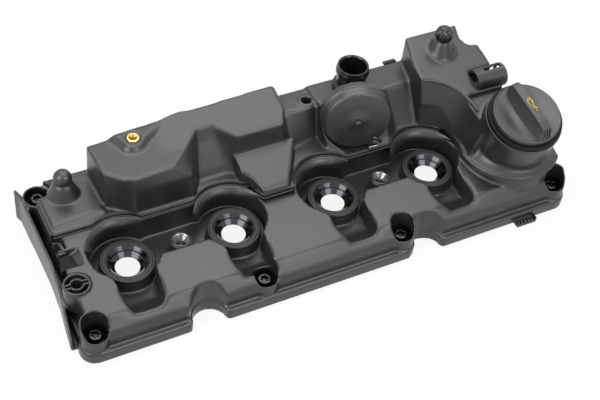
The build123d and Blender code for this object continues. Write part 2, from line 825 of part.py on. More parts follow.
with BuildPart() as filler_cap_seal:
    with BuildSketch(neck_top.offset(0.25)):
        Circle(cap_seal_r)
        Circle(plug_r - 3.8, mode=Mode.SUBTRACT)
    extrude(amount=cap_seal_height - 0.35)
    fillet(filler_cap_seal.edges().filter_by(GeomType.CIRCLE).sort_by(SortBy.RADIUS)[-2:], 0.8)

# Pressure regulator cover with a small dimple in the middle of its face
with BuildPart() as regulator_cover:
    with BuildSketch(reg_plane.offset(-reg_depth)):
        Circle(reg_back_r)
    with BuildSketch(reg_plane):
        Circle(reg_r)
    loft()
    with BuildSketch(reg_plane.offset(-0.6)):
        Circle(2.6)
    extrude(amount=2, mode=Mode.SUBTRACT)

# Breather spigot with a collar, a waist and a rolled rim
with BuildPart() as breather_spigot:
    with BuildSketch(Plane(origin=spot(*spigot_spot, 0), x_dir=(0, 1, 0), z_dir=(1, 0, 0))):
        Polygon(
            (spigot_bore_r, middle_top - 5.9), (spigot_r - 0.5, middle_top - 5.9),
            (spigot_r - 0.5, middle_top + 0.1), (spigot_r + 2.0, middle_top + 0.1),
            (spigot_r + 2.0, middle_top + 3.0), (spigot_r - 0.4, middle_top + 4.4),
            (spigot_r - 0.8, spigot_top - 8.0), (spigot_r + 0.9, spigot_top - 6.2),
            (spigot_r + 0.9, spigot_top - 3.8), (spigot_r, spigot_top - 1.2),
            (spigot_r, spigot_top), (spigot_bore_r + 0.6, spigot_top), (spigot_bore_r, spigot_top - 0.8),
            align=None,
        )
    revolve(axis=Axis(spot(*spigot_spot, 0), (0, 0, 1)))

# Brass threaded insert
with BuildPart() as threaded_insert:
    with BuildSketch(level(pad_top - 13.9)):
        with Locations(insert_spot):
            Circle(insert_r - 0.05)
            Circle(insert_bore_r, mode=Mode.SUBTRACT)
    extrude(amount=13.9)

# Ribbed ball on the right stud
with BuildPart() as right_ball:
    with Locations(spot(*right_stud, right_ball_z)):
        Sphere(right_ball_r)
    with BuildSketch(level(right_ball_z - 6)):
        with Locations(right_stud):
            with PolarLocations(right_ball_r + 0.4, 8):
                Circle(1.0)
    extrude(amount=12, mode=Mode.SUBTRACT)
    with BuildSketch(level(right_ball_z - 20)):
        with Locations(right_stud):
            Circle(20)
    extrude(amount=15.2, mode=Mode.SUBTRACT)

# Hose clips pushed onto the back edge
with BuildPart() as hose_clips:
    for x, top in ((182.0, plate_top), (268.0, middle_top)):
        with BuildSketch(across(x - 5)):
            Polygon((86.9, top - 12), (90.0, top - 12), (90.0, top + 1.2), (84.0, top + 1.2),
                    (84.0, top + 0.1), (86.9, top + 0.1), align=None)
        extrude(amount=10)


def hand_in(part, name):
    """Name one sub-part and write it as its own file."""
    part.label = name
    export_step(part, f"parts/{name}.step")


hand_in(cover_shell.part, "cover_shell")
hand_in(separator_housing.part, "separator_housing")
hand_in(socket_springs.part, "socket_springs")
hand_in(cover_gasket.part, "cover_gasket")
hand_in(baffle_plate.part, "baffle_plate")
hand_in(harness_loop.part, "harness_loop")
hand_in(cover_bolts.part, "cover_bolts")
hand_in(bolt_grommets.part, "bolt_grommets")
hand_in(bolt_sleeves.part, "bolt_sleeves")
hand_in(cup_sleeves.part, "cup_sleeves")
hand_in(filler_cap.part, "filler_cap")
hand_in(filler_cap_seal.part, "filler_cap_seal")
hand_in(regulator_cover.part, "regulator_cover")
hand_in(breather_spigot.part, "breather_spigot")
hand_in(threaded_insert.part, "threaded_insert")
hand_in(right_ball.part, "right_ball")
hand_in(hose_clips.part, "hose_clips")
for number, x in enumerate(injectors, start=1):
    hand_in(seal_ring(x), f"seal_ring_{number}")
    hand_in(seal_funnel(x), f"seal_funnel_{number}")
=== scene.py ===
# %% [markdown]
# # Moulded engine valve cover
# This lesson dresses a CAD model of a plastic engine valve cover. The CAD part already has
# the true shape of every rigid piece, so most of the work here is finish: grained nylon,
# rubber, coated steel and brass, plus the small forms that are easier to make as meshes.

# %% Load the frame
import json
import math

import bmesh
import bpy
import numpy as np
from mathutils import Matrix, Vector


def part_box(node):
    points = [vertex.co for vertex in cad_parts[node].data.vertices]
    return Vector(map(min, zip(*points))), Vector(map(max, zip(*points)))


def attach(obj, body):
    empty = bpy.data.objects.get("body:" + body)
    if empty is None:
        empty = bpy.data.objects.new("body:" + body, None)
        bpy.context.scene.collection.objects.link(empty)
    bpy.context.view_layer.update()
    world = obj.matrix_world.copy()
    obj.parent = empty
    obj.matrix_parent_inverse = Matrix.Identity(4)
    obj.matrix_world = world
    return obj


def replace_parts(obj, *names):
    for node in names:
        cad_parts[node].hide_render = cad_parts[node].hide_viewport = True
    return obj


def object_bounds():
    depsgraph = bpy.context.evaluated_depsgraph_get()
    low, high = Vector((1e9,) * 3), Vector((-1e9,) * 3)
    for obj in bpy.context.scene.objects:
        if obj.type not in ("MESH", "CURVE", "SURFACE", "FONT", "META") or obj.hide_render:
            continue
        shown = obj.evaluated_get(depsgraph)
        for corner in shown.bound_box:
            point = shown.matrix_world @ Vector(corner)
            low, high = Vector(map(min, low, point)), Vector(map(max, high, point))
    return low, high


bpy.context.scene.view_settings.view_transform = "Standard"
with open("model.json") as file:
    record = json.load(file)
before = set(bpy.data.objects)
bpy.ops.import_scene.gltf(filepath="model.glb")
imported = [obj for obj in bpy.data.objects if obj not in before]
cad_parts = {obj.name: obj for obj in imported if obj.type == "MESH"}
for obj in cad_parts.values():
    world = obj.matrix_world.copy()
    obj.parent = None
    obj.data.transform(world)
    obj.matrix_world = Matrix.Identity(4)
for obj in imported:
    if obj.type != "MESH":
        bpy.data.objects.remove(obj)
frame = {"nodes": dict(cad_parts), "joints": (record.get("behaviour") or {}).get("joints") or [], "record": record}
cad_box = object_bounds()

# %% [markdown]
# Sizes on this cover were measured from the first injector seal, along the injector row and
# towards the back. One small function turns such a spot, given in millimetres, into the
# metres of the frame. Every piece made below is placed through it, so that the numbers
# can be read against a drawing of the cover.

# %% Places on the cover
ROW_START = Vector((-155.9, -18.4, 0.0))
PITCH = 88.0
MM = 0.001


def place(x, y, z):
    """A spot in millimetres from the first injector, as metres in the frame."""
    return (ROW_START + Vector((x, y, z))) * MM


injectors = [PITCH * i for i in range(4)]
print("first injector at", tuple(round(v, 4) for v in place(0, 0, 0)))

# %% [markdown]
# ## Camera
# The photograph was taken with a long lens from the front left, about 47 degrees above the
# table, and the picture is tipped a little. A camera can be aimed with a Track To constraint,
# which can't tip it, or with a matrix. The matrix is used here: its three columns are the
# right, up and back directions of the camera, worked out from turn, height and tip.

# %% Camera
CAMERA_TURN = math.radians(-32.14)
CAMERA_HEIGHT = math.radians(46.927)
CAMERA_TIP = math.radians(-7.517)
CAMERA_AIM = (132.0, 0.0, 30.0)
CAMERA_AWAY = 988.9
CAMERA_SLIDE = (-12.139, -8.948)
SENSOR_WIDTH = 36.0
PICTURE_WIDTH = 600
CAMERA_LENS = 1252.185 / PICTURE_WIDTH * SENSOR_WIDTH


def camera_axes():
    """The right, up and back directions of the camera."""
    back = Vector((
        math.sin(CAMERA_TURN) * math.cos(CAMERA_HEIGHT),
        -math.cos(CAMERA_TURN) * math.cos(CAMERA_HEIGHT),
        math.sin(CAMERA_HEIGHT),
    ))
    right = Vector((math.cos(CAMERA_TURN), math.sin(CAMERA_TURN), 0.0))
    up = back.cross(right)
    c, s = math.cos(CAMERA_TIP), math.sin(CAMERA_TIP)
    return right * c - up * s, right * s + up * c, back


camera_data = bpy.data.cameras.new("camera")
camera_data.lens = CAMERA_LENS
camera_data.sensor_width = SENSOR_WIDTH
camera_data.clip_end = 20.0
camera = bpy.data.objects.new("camera", camera_data)
bpy.context.scene.collection.objects.link(camera)
right, up, back = camera_axes()
stand = Vector(CAMERA_AIM) - right * CAMERA_SLIDE[0] - up * CAMERA_SLIDE[1] + back * CAMERA_AWAY
turn = Matrix((right, up, back)).transposed().to_4x4()
camera.matrix_world = Matrix.Translation(place(*stand)) @ turn
bpy.context.scene.camera = camera
print("lens", round(CAMERA_LENS, 2), "camera at", tuple(round(v, 3) for v in camera.location))

# %% [markdown]
# ## Floor, background and lamps
# The cover lies on a white table in front of nothing. A world that is white only for the
# camera and for reflections gives a clean background without adding light. The floor mixes
# a pale diffuse with the same trick, so it stays white but keeps a soft shadow.
# The lamps are large area lights, because moulded plastic shows its form through broad
# soft highlights.

# %% Floor and background
WHITE = (1.0, 1.0, 1.0, 1.0)
PAPER = (0.9, 0.9, 0.9, 1.0)
ROOM_LIGHT = 0.13
GLOW_SHARE = 0.90
FLOOR_GAP = 0.0002


def node_of(tree, kind, **settings):
    """Add a shader node and set its attributes."""
    node = tree.nodes.new(kind)
    for key, value in settings.items():
        setattr(node, key, value)
    return node


def tone_of(tree, kind, color, strength=None):
    """Add a shader of one plain colour."""
    node = node_of(tree, kind)
    node.inputs["Color"].default_value = color
    if strength is not None:
        node.inputs["Strength"].default_value = strength
    return node


def seen_ray(tree):
    """1 for camera, glossy and transmission rays, and 0 for all others."""
    path = node_of(tree, "ShaderNodeLightPath")
    first = node_of(tree, "ShaderNodeMath", operation="MAXIMUM")
    both = node_of(tree, "ShaderNodeMath", operation="MAXIMUM")
    tree.links.new(path.outputs["Is Camera Ray"], first.inputs[0])
    tree.links.new(path.outputs["Is Glossy Ray"], first.inputs[1])
    tree.links.new(first.outputs[0], both.inputs[0])
    tree.links.new(path.outputs["Is Transmission Ray"], both.inputs[1])
    return both.outputs[0]


def output_mix(tree, share, first, second, output):
    """Mix two shaders by a share and link them to the output."""
    mix = node_of(tree, "ShaderNodeMixShader")
    tree.links.new(share, mix.inputs[0])
    tree.links.new(first.outputs[0], mix.inputs[1])
    tree.links.new(second.outputs[0], mix.inputs[2])
    tree.links.new(mix.outputs[0], node_of(tree, output).inputs["Surface"])


def new_finish(name):
    """A material with an empty node tree, and that tree."""
    finish = bpy.data.materials.new(name)
    finish.use_nodes = True
    finish.node_tree.nodes.clear()
    return finish, finish.node_tree


world = bpy.data.worlds.new("studio")
bpy.context.scene.world = world
world.use_nodes = True
tree = world.node_tree
tree.nodes.clear()
room = tone_of(tree, "ShaderNodeBackground", WHITE, ROOM_LIGHT)
bright = tone_of(tree, "ShaderNodeBackground", WHITE, 1.0)
output_mix(tree, seen_ray(tree), room, bright, "ShaderNodeOutputWorld")

floor_finish, tree = new_finish("floor_white")
paper = tone_of(tree, "ShaderNodeBsdfDiffuse", PAPER)
glow = tone_of(tree, "ShaderNodeEmission", WHITE, 1.0)
share = node_of(tree, "ShaderNodeMath", operation="MULTIPLY")
share.inputs[1].default_value = GLOW_SHARE
tree.links.new(seen_ray(tree), share.inputs[0])
output_mix(tree, share.outputs[0], paper, glow, "ShaderNodeOutputMaterial")

floor_mesh = bpy.data.meshes.new("floor")
floor_mesh.from_pydata([(-4, -4, 0), (4, -4, 0), (4, 4, 0), (-4, 4, 0)], [], [(0, 1, 2, 3)])
floor_mesh.materials.append(floor_finish)
floor = bpy.data.objects.new("floor", floor_mesh)
floor.location.z = cad_box[0][2] - FLOOR_GAP
bpy.context.scene.collection.objects.link(floor)
print("floor at", round(floor.location.z, 5))

# %% Lamps
def soft_lamp(name, where, size, watts, target=(0.0, 0.0, 0.03)):
    """A large area light that faces a target."""
    lamp = bpy.data.lights.new(name, "AREA")
    lamp.shape = "RECTANGLE"
    lamp.size, lamp.size_y = size
    lamp.energy = watts
    body = bpy.data.objects.new(name, lamp)
    body.location = where
    body.rotation_euler = (Vector(target) - Vector(where)).to_track_quat("-Z", "Y").to_euler()
    bpy.context.scene.collection.objects.link(body)


soft_lamp("lamp_back", (0.12, 0.34, 1.40), (1.5, 1.5), 17.5)
soft_lamp("lamp_left", (-1.15, -0.25, 0.80), (0.9, 0.9), 11.0)
soft_lamp("lamp_front", (0.35, -1.15, 0.95), (0.8, 0.8), 7.0)

# %% [markdown]
# ## Finishes
# Moulded nylon is never one flat grey. The glass fibres leave a fine grain, the colour drifts
# a little over the part, and the edges are rounded and carry a paler painted highlight.
# A paint file could hold all that, but a node tree keeps the scale right at any distance.
# The edges come from a Bevel node: it rounds the shading normal, and the difference between
# the rounded and the plain normal also makes the mask for the painted edge highlight.

# %% Helpers for finishes
def noise_of(tree, spot, scale, detail):
    """The value of a noise that is read at a spot."""
    noise = node_of(tree, "ShaderNodeTexNoise")
    noise.inputs["Scale"].default_value = scale
    noise.inputs["Detail"].default_value = detail
    tree.links.new(spot, noise.inputs["Vector"])
    return noise.outputs["Fac"]


def range_of(tree, value, **limits):
    """A value mapped to another range, with limits named after the inputs of the node."""
    mapped = node_of(tree, "ShaderNodeMapRange")
    for key, limit in limits.items():
        mapped.inputs[key.replace("_", " ").title()].default_value = limit
    tree.links.new(value, mapped.inputs["Value"])
    return mapped.outputs["Result"]


def color_mix(tree, share, first, second):
    """Two colours mixed by a share. Each is a plain colour or comes from a node."""
    mix = node_of(tree, "ShaderNodeMix", data_type="RGBA")
    for key, color in (("A", first), ("B", second)):
        if isinstance(color, tuple):
            mix.inputs[key].default_value = (*color, 1.0)
        else:
            tree.links.new(color, mix.inputs[key])
    tree.links.new(share, mix.inputs["Factor"])
    return mix.outputs["Result"]


def rounded_normal(tree, edge_mm):
    """The shading normal with rounded edges."""
    soft = node_of(tree, "ShaderNodeBevel", samples=4)
    soft.inputs["Radius"].default_value = edge_mm * MM
    return soft.outputs["Normal"]


def output_surface(tree, surface, normal, relief, strength, depth_mm):
    """Lay a relief over the normal of a surface and link the surface to the output."""
    bump = node_of(tree, "ShaderNodeBump")
    bump.inputs["Strength"].default_value = strength
    bump.inputs["Distance"].default_value = depth_mm * MM
    tree.links.new(relief, bump.inputs["Height"])
    tree.links.new(normal, bump.inputs["Normal"])
    tree.links.new(bump.outputs["Normal"], surface.inputs["Normal"])
    tree.links.new(surface.outputs[0], node_of(tree, "ShaderNodeOutputMaterial").inputs["Surface"])


# %% Grained plastics and rubbers
DRIFT_RANGE = (0.3, 0.7)
# where the rounded normal turns from the plain one, and how much paler the colour gets there: the painted edge
# highlight
EDGE_MATCH = (0.995, 0.80)
EDGE_HIGHLIGHT_GAIN = 2.2
GRAIN_STRENGTH = 0.5


def grained(name, dark, light, roughness, grain_mm=0.45, grain_depth=0.02, drift_mm=28.0,
            edge_mm=0.9, edge_highlight=0.25, rough_drift=0.08, specular=0.5):
    """A matt or satin surface with grain, slow colour drift, softened edges and a painted edge highlight."""
    finish, tree = new_finish(name)
    spot = node_of(tree, "ShaderNodeTexCoord").outputs["Object"]
    surface = node_of(tree, "ShaderNodeBsdfPrincipled")
    surface.inputs["Specular IOR Level"].default_value = specular
    drift = noise_of(tree, spot, 1000.0 / drift_mm, 5.0)
    grain = noise_of(tree, spot, 1000.0 / grain_mm, 2.0)
    share = range_of(tree, drift, from_min=DRIFT_RANGE[0], from_max=DRIFT_RANGE[1])
    body = color_mix(tree, share, dark, light)
    # softened edges, and the mask that they give for the painted edge highlight
    normal = rounded_normal(tree, edge_mm)
    match = node_of(tree, "ShaderNodeVectorMath", operation="DOT_PRODUCT")
    tree.links.new(normal, match.inputs[0])
    tree.links.new(node_of(tree, "ShaderNodeNewGeometry").outputs["Normal"], match.inputs[1])
    edge = range_of(tree, match.outputs["Value"], from_min=EDGE_MATCH[0],
                    from_max=EDGE_MATCH[1], to_max=edge_highlight)
    # the edges are mixed towards a paler tone of the light colour: a painted highlight
    edge_highlight_color = tuple(min(1.0, c * EDGE_HIGHLIGHT_GAIN + 0.02) for c in light)
    tree.links.new(color_mix(tree, edge, body, edge_highlight_color), surface.inputs["Base Color"])
    rough = range_of(tree, drift, to_min=roughness - rough_drift, to_max=roughness + rough_drift)
    tree.links.new(rough, surface.inputs["Roughness"])
    output_surface(tree, surface, normal, grain, GRAIN_STRENGTH, grain_depth)
    return finish


finishes = {
    "moulding_grey": grained("moulding_grey", (0.016, 0.016, 0.015), (0.025, 0.025, 0.023), 0.34,
                             specular=0.66, edge_mm=0.6),
    "cap_plastic": grained("cap_plastic", (0.026, 0.026, 0.028), (0.034, 0.034, 0.036), 0.36,
                           grain_mm=0.3, grain_depth=0.012, drift_mm=40, edge_mm=0.5,
                           specular=0.75),
    "gloss_black": grained("gloss_black", (0.008, 0.008, 0.008), (0.012, 0.012, 0.012), 0.16,
                           grain_mm=1.5, grain_depth=0.01, edge_mm=0.6, edge_highlight=0.1,
                           rough_drift=0.05),
    "rubber_black": grained("rubber_black", (0.010, 0.010, 0.010), (0.016, 0.016, 0.016), 0.42,
                            grain_mm=0.6, grain_depth=0.015, drift_mm=12, edge_mm=0.25,
                            edge_highlight=0.1, specular=0.4),
    # a darker copy of the black rubber: its extra darkness is painted shade for rubber deep in recesses
    "rubber_painted_shade": grained("rubber_painted_shade", (0.003, 0.003, 0.003), (0.006, 0.006, 0.006), 0.55,
                           grain_mm=0.6, drift_mm=12, edge_mm=0.3, edge_highlight=0.0, specular=0.2),
}
print("plastics and rubbers:", sorted(finishes))

# %% [markdown]
# ## Metals
# The bolts are coated black, the sleeves are plain steel, the funnels in the seals are drawn
# bright metal and the threaded insert is brass. All four are metallic surfaces whose
# roughness changes a little from place to place, with fine turning marks where a lathe made
# them. A noise that is stretched sideways, and stays fine along the height, gives such rings.

# %% Turned and drawn metals
RING_STRETCH = (0.15, 0.15, 1.0)
RING_STRENGTH = 0.4
STAIN_SCALE = 260.0


def turned(name, color, roughness, ring_mm=0.25, ring_depth=0.01, edge_mm=0.35):
    """A metal with fine rings round an upright axis and slightly rounded edges."""
    finish, tree = new_finish(name)
    spot = node_of(tree, "ShaderNodeTexCoord").outputs["Object"]
    surface = node_of(tree, "ShaderNodeBsdfPrincipled")
    surface.inputs["Metallic"].default_value = 1.0
    stretch = node_of(tree, "ShaderNodeMapping")
    stretch.inputs["Scale"].default_value = RING_STRETCH
    tree.links.new(spot, stretch.inputs["Vector"])
    rings = noise_of(tree, stretch.outputs["Vector"], 1000.0 / ring_mm, 2.0)
    stain = noise_of(tree, spot, STAIN_SCALE, 4.0)
    tint = color_mix(tree, stain, tuple(c * 0.8 for c in color), color)
    tree.links.new(tint, surface.inputs["Base Color"])
    rough = range_of(tree, stain, to_min=roughness * 0.7, to_max=roughness * 1.3)
    tree.links.new(rough, surface.inputs["Roughness"])
    normal = rounded_normal(tree, edge_mm)
    output_surface(tree, surface, normal, rings, RING_STRENGTH, ring_depth)
    return finish


metals = {
    "bolt_black": turned("bolt_black", (0.055, 0.055, 0.058), 0.13),
    "sleeve_steel": turned("sleeve_steel", (0.24, 0.24, 0.24), 0.26),
    "funnel_metal": turned("funnel_metal", (0.062, 0.063, 0.070), 0.12),
    "insert_brass": turned("insert_brass", (0.83, 0.60, 0.27), 0.22),
}
finishes.update(metals)
print("metals:", sorted(metals))

# %% [markdown]
# ## Finish the CAD nodes
# Each CAD node gets its finish through the material slots it came with, as the record names
# them. Two rubber nodes lie deep in their recesses and take a darker copy of the black rubber:
# the rubber is black, and its extra darkness is painted shade. The pieces that are made below
# take the same finishes.

# %% Finish the CAD nodes
# rubber nodes deep in recesses, which take the darker copy of the rubber with painted shade
SHADED_RUBBER_NODES = ("bolt_grommets", "filler_cap_seal")
slot_of = {p["node"]: p["material_slot"] for p in frame["record"]["subparts"]}
for name, node in frame["nodes"].items():
    for slot in node.material_slots:
        slot.material = finishes["rubber_painted_shade" if name in SHADED_RUBBER_NODES else slot_of[name]]


def adopt(piece, finish, body="cover"):
    """Give a new piece its finish and let it ride on a body."""
    piece.data.materials.clear()
    piece.data.materials.append(finishes[finish])
    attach(piece, body)
    return piece


print("finished nodes:", len(slot_of))

# %% [markdown]
# ## Rounding the two mouldings
# Every edge of a moulding is rounded, because sharp corners crack and fill badly. Filleting
# hundreds of CAD edges that meet in odd corners fails easily, and a Bevel modifier on a CAD
# mesh trips over its long thin triangles. So each moulding is copied, remeshed into even
# small squares, and relaxed: every point moves towards the middle of its neighbours, which
# leaves flat faces alone and rounds the edges. A weight keeps the small and fitting
# features crisp. Then the flat stretches give up the triangles that they don't need.

# %% A helper that rounds a moulding
SAME_SPOT = 0.00002


def new_piece(name, data):
    """An object of the scene that shows a mesh or a curve."""
    piece = bpy.data.objects.new(name, data)
    bpy.context.scene.collection.objects.link(piece)
    return piece


def evaluated(piece):
    """The mesh of a piece with its modifiers or its curve worked out."""
    depsgraph = bpy.context.evaluated_depsgraph_get()
    return bpy.data.meshes.new_from_object(piece.evaluated_get(depsgraph))


def local_places(spots):
    """The x, y and z of the points in millimetres from the first injector."""
    return (spots / MM - np.array(ROW_START)).T


def rounded(name, voxel_mm, passes, triangles, lift_of=None):
    """A copy of a CAD node with its edges rounded by relaxing an even mesh.

    Each pass is a number of rounds and the function that weighs the points. The optional
    lift gives the millimetres that each point rises.
    """
    piece = new_piece("rounded_" + name, frame["nodes"][name].data.copy())
    work = bmesh.new()
    work.from_mesh(piece.data)
    bmesh.ops.remove_doubles(work, verts=work.verts, dist=SAME_SPOT)
    work.to_mesh(piece.data)
    work.free()
    even = piece.modifiers.new("even", "REMESH")
    even.mode = "VOXEL"
    even.voxel_size = voxel_mm * MM
    mesh = evaluated(piece)
    piece.modifiers.clear()
    piece.data = mesh
    count = len(mesh.vertices)
    spots = np.empty(count * 3)
    mesh.vertices.foreach_get("co", spots)
    spots = spots.reshape(-1, 3)
    ends = np.empty(len(mesh.edges) * 2, dtype=np.int32)
    mesh.edges.foreach_get("vertices", ends)
    first, second = ends.reshape(-1, 2).T
    neighbours = np.bincount(first, minlength=count) + np.bincount(second, minlength=count)
    x, y, z = local_places(spots)
    for rounds, weight_of in passes:
        weight = weight_of(x, y, z)[:, None]
        for _ in range(rounds):
            middle = np.stack([
                np.bincount(first, spots[second, k], count)
                + np.bincount(second, spots[first, k], count)
                for k in range(3)
            ], axis=1) / neighbours[:, None]
            spots += (middle - spots) * weight
    if lift_of:
        spots[:, 2] += lift_of(*local_places(spots)) * MM
    mesh.vertices.foreach_set("co", spots.ravel())
    mesh.update()
    thin = piece.modifiers.new("thin", "DECIMATE")
    thin.ratio = min(1.0, triangles / (2.0 * len(mesh.polygons)))
    light = evaluated(piece)
    piece.modifiers.clear()
    piece.data = light
    light.shade_smooth()
    print(name, "points", count, "faces kept", len(light.polygons))
    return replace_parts(adopt(piece, slot_of[name]), name)


# %% [markdown]
# Two small helpers write the weights: one rises from 0 to 1 over a span, and the other makes
# a quiet round patch. The places of bolts and cups are named here once, for the pieces too.

# %% Round the housing and the lower moulding
BOLTS = [(-43.5, -47.5), (92.7, -47.5), (213.2, -47.5), (359.6, -47.5),
         (-42.3, 82.5), (92.7, 90.0), (213.2, 90.0), (359.6, 84.0)]
CUPS = [(45.2, 4.0), (221.6, 4.4)]
SOCKET = (-44.3, -13.0)
INSERT = (33.1, 71.8)
OPEN_HOLE = (181.8, 69.2)
TROUGH_SHIFT = [-1.0, 0.5, 2.5, 5.0]
ROOF_CROWN = 6.0
LEAST_HOUSING, LEAST_SHELL, LEAST_FLANGE = 0.25, 0.2, 0.3
# inner and outer radius of the patches that stay nearly as crisp as the CAD
QUIET = {"hole": (7.5, 10.0), "well": (21.5, 24.0), "cup": (9.0, 11.0),
         "bolt": (10.5, 12.5), "socket": (11.0, 12.5), "trough bolt": (11.5, 13.5)}


def rise(value, start, span):
    """0 before a start and 1 beyond a span, which may also run backwards."""
    return np.clip((value - start) / span, 0.0, 1.0)


def near(weight, x, y, centre, inner, outer):
    """A weight that falls to 0 between an outer and an inner radius round a centre."""
    away = np.hypot(x - centre[0], y - centre[1])
    return np.minimum(weight, rise(away, inner, outer - inner))


def housing_weight(x, y, z):
    """Full above the weld joint, and least at the joint and round the open hole."""
    weight = near(rise(z, 43.0, 3.0), x, y, OPEN_HOLE, *QUIET["hole"])
    return np.maximum(weight, LEAST_HOUSING)


def shell_weight(x, y, z):
    """Full above the flange, and least where other pieces seat and at the left edge."""
    weight = np.maximum(rise(z, 12.0, 6.0), LEAST_FLANGE)
    for x_row in injectors:
        weight = near(weight, x, y, (x_row, 0.0), *QUIET["well"])
    for spot in CUPS:
        weight = near(weight, x, y, spot, *QUIET["cup"])
    for spot in BOLTS:
        weight = near(weight, x, y, spot, *QUIET["bolt"])
    weight = near(weight, x, y, SOCKET, *QUIET["socket"])
    return np.maximum(np.minimum(weight, rise(x, -49.0, 4.0)), LEAST_SHELL)


def trough_weight(x, y, z):
    """Only the front ends of the troughs, which are rounder than the rest."""
    weight = np.zeros_like(x)
    for x_row, shift in zip(injectors, TROUGH_SHIFT):
        beside = rise(np.abs(x - x_row - shift), 23.0, -4.0)
        front = rise(y, -24.0, -5.0) * rise(y, -57.0, 3.0)
        weight = np.maximum(weight, beside * front * rise(z, 13.0, 2.0))
    for spot in BOLTS:
        weight = near(weight, x, y, spot, *QUIET["trough bolt"])
    return weight


def roof_lift(x, y, z):
    """A low crown on the roof of the separator box, highest along its back edge."""
    along = rise(x, 38.0, 40.0) * rise(x, 164.0, -9.0)
    along = along * along * (3.0 - 2.0 * along)
    crown = ROOF_CROWN * along * rise(y, 50.0, 34.0)
    over = np.clip(z - 78.0, 0.0, None)
    inside = (y < 90.0) & (z < 84.0) & (x < 165.0)
    return np.where(inside, np.maximum(crown * rise(z, 70.0, 8.0) - over, 0.0), 0.0)


rounded("separator_housing", 0.95, [(5, housing_weight)], 190000, roof_lift)
rounded("cover_shell", 0.85, [(3, shell_weight), (30, trough_weight)], 195000)

# %% [markdown]
# ## Injector seals, bolts and sleeves
# Round pieces are spun from a profile, as on a lathe. A profile point is a radius, a height
# and, where it helps, the depth of a six-pointed star, so that the same helper also makes the
# socket of a bolt. A small Bevel modifier with hardened normals then breaks every sharp rim.

# %% Helpers for pieces made point by point
def settle(name, work, finish, body="cover", soften=0.2):
    """Turn a bmesh into a piece with broken edges and a finish."""
    bmesh.ops.recalc_face_normals(work, faces=work.faces)
    mesh = bpy.data.meshes.new(name)
    work.to_mesh(mesh)
    work.free()
    piece = new_piece(name, mesh)
    mesh.shade_smooth()
    if soften:
        edges = piece.modifiers.new("soften", "BEVEL")
        edges.width = soften * MM
        edges.segments = 2
        edges.limit_method = "ANGLE"
        edges.angle_limit = math.radians(30)
        edges.harden_normals = True
    return adopt(piece, finish, body)


def full_turn(steps):
    """The angles of a full turn in even steps."""
    return [2 * math.pi * k / steps for k in range(steps)]


def skin(work, rings, closed=False, flip=False):
    """Lay faces between neighbouring rings, the other way round where flip is set.

    Closed also joins the last ring to the first.
    """
    following = rings[1:] + rings[:1] if closed else rings[1:]
    for one, other in zip(rings, following):
        for k in range(len(one)):
            n = (k + 1) % len(one)
            if flip:
                work.faces.new((one[k], other[k], other[n], one[n]))
            else:
                work.faces.new((one[k], one[n], other[n], other[k]))


def close_ends(work, rings, flip_last=True):
    """Close both ends of a skin with one face each."""
    work.faces.new(rings[0])
    work.faces.new(rings[-1][::-1] if flip_last else rings[-1])


def prism(work, front, back, flip_last=True):
    """A solid between two outlines of as many places each."""
    rings = [[work.verts.new(place(*spot)) for spot in outline] for outline in (front, back)]
    skin(work, rings)
    close_ends(work, rings, flip_last)


def spin(work, profile, foot, steps=72, closed=True, points=6):
    """Add a lathe form to a bmesh, over a foot given in millimetres from the first injector."""
    rings = []
    for radius, height, *star in profile:
        depth = star[0] if star else 0.0
        ring = []
        for angle in full_turn(steps):
            reach = max(radius + depth * math.cos(points * angle), 0.01)
            ring.append(work.verts.new(place(foot[0] + reach * math.cos(angle),
                                             foot[1] + reach * math.sin(angle), height)))
        rings.append(ring)
    skin(work, rings, closed)


# %% Seals with their pressed funnels
SEAL_FOOT = 22.0
SEAL_RING = [(16.0, SEAL_FOOT), (18.1, SEAL_FOOT), (18.1, 26.1), (21.1, 26.1), (21.3, 26.6),
             (21.3, 28.9), (20.7, 29.7), (19.6, 30.0), (19.3, 29.7), (18.9, 29.7), (18.6, 30.0),
             (16.9, 30.0), (16.4, 29.7), (16.0, 29.4)]
SEAL_FUNNEL = [(9.5, SEAL_FOOT), (15.9, SEAL_FOOT), (15.9, 29.3), (15.5, 29.3), (15.1, 28.8),
               (13.5, 26.7), (13.1, 26.2), (12.9, 25.6), (12.5, 25.3), (12.1, 24.9),
               (10.9, 23.7), (10.0, 22.8), (9.6, 22.4)]
for i, x_row in enumerate(injectors, 1):
    for kind, profile, finish in (("ring", SEAL_RING, "rubber_black"),
                                  ("funnel", SEAL_FUNNEL, "funnel_metal")):
        work = bmesh.new()
        spin(work, profile, (x_row, 0.0), steps=120)
        piece = settle(f"injector_seal_{kind}_{i}", work, finish, soften=0.12)
        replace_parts(piece, f"seal_{kind}_{i}")
print("seals:", len(injectors))

# %% Bolts with the rubber cups under their heads
BOLT_RIMS = [21.0] * 4 + [35.0] * 4
SEAT_DEPTH = 9.0
SHANK_FOOT = [(0.0, 1.5), (2.6, 1.5), (3.1, 2.2)]
# heights over the seat: the end of the shank, then the head and its six-pointed socket
HEAD = [(3.1, 0.2), (7.4, 0.2), (7.4, 1.2), (6.9, 1.8), (5.7, 2.1), (5.3, 2.8), (5.3, 6.1),
        (4.8, 6.8), (4.2, 7.0), (3.1, 6.9, 0.45), (2.9, 6.4, 0.45), (2.8, 3.6, 0.45), (0.0, 3.3)]
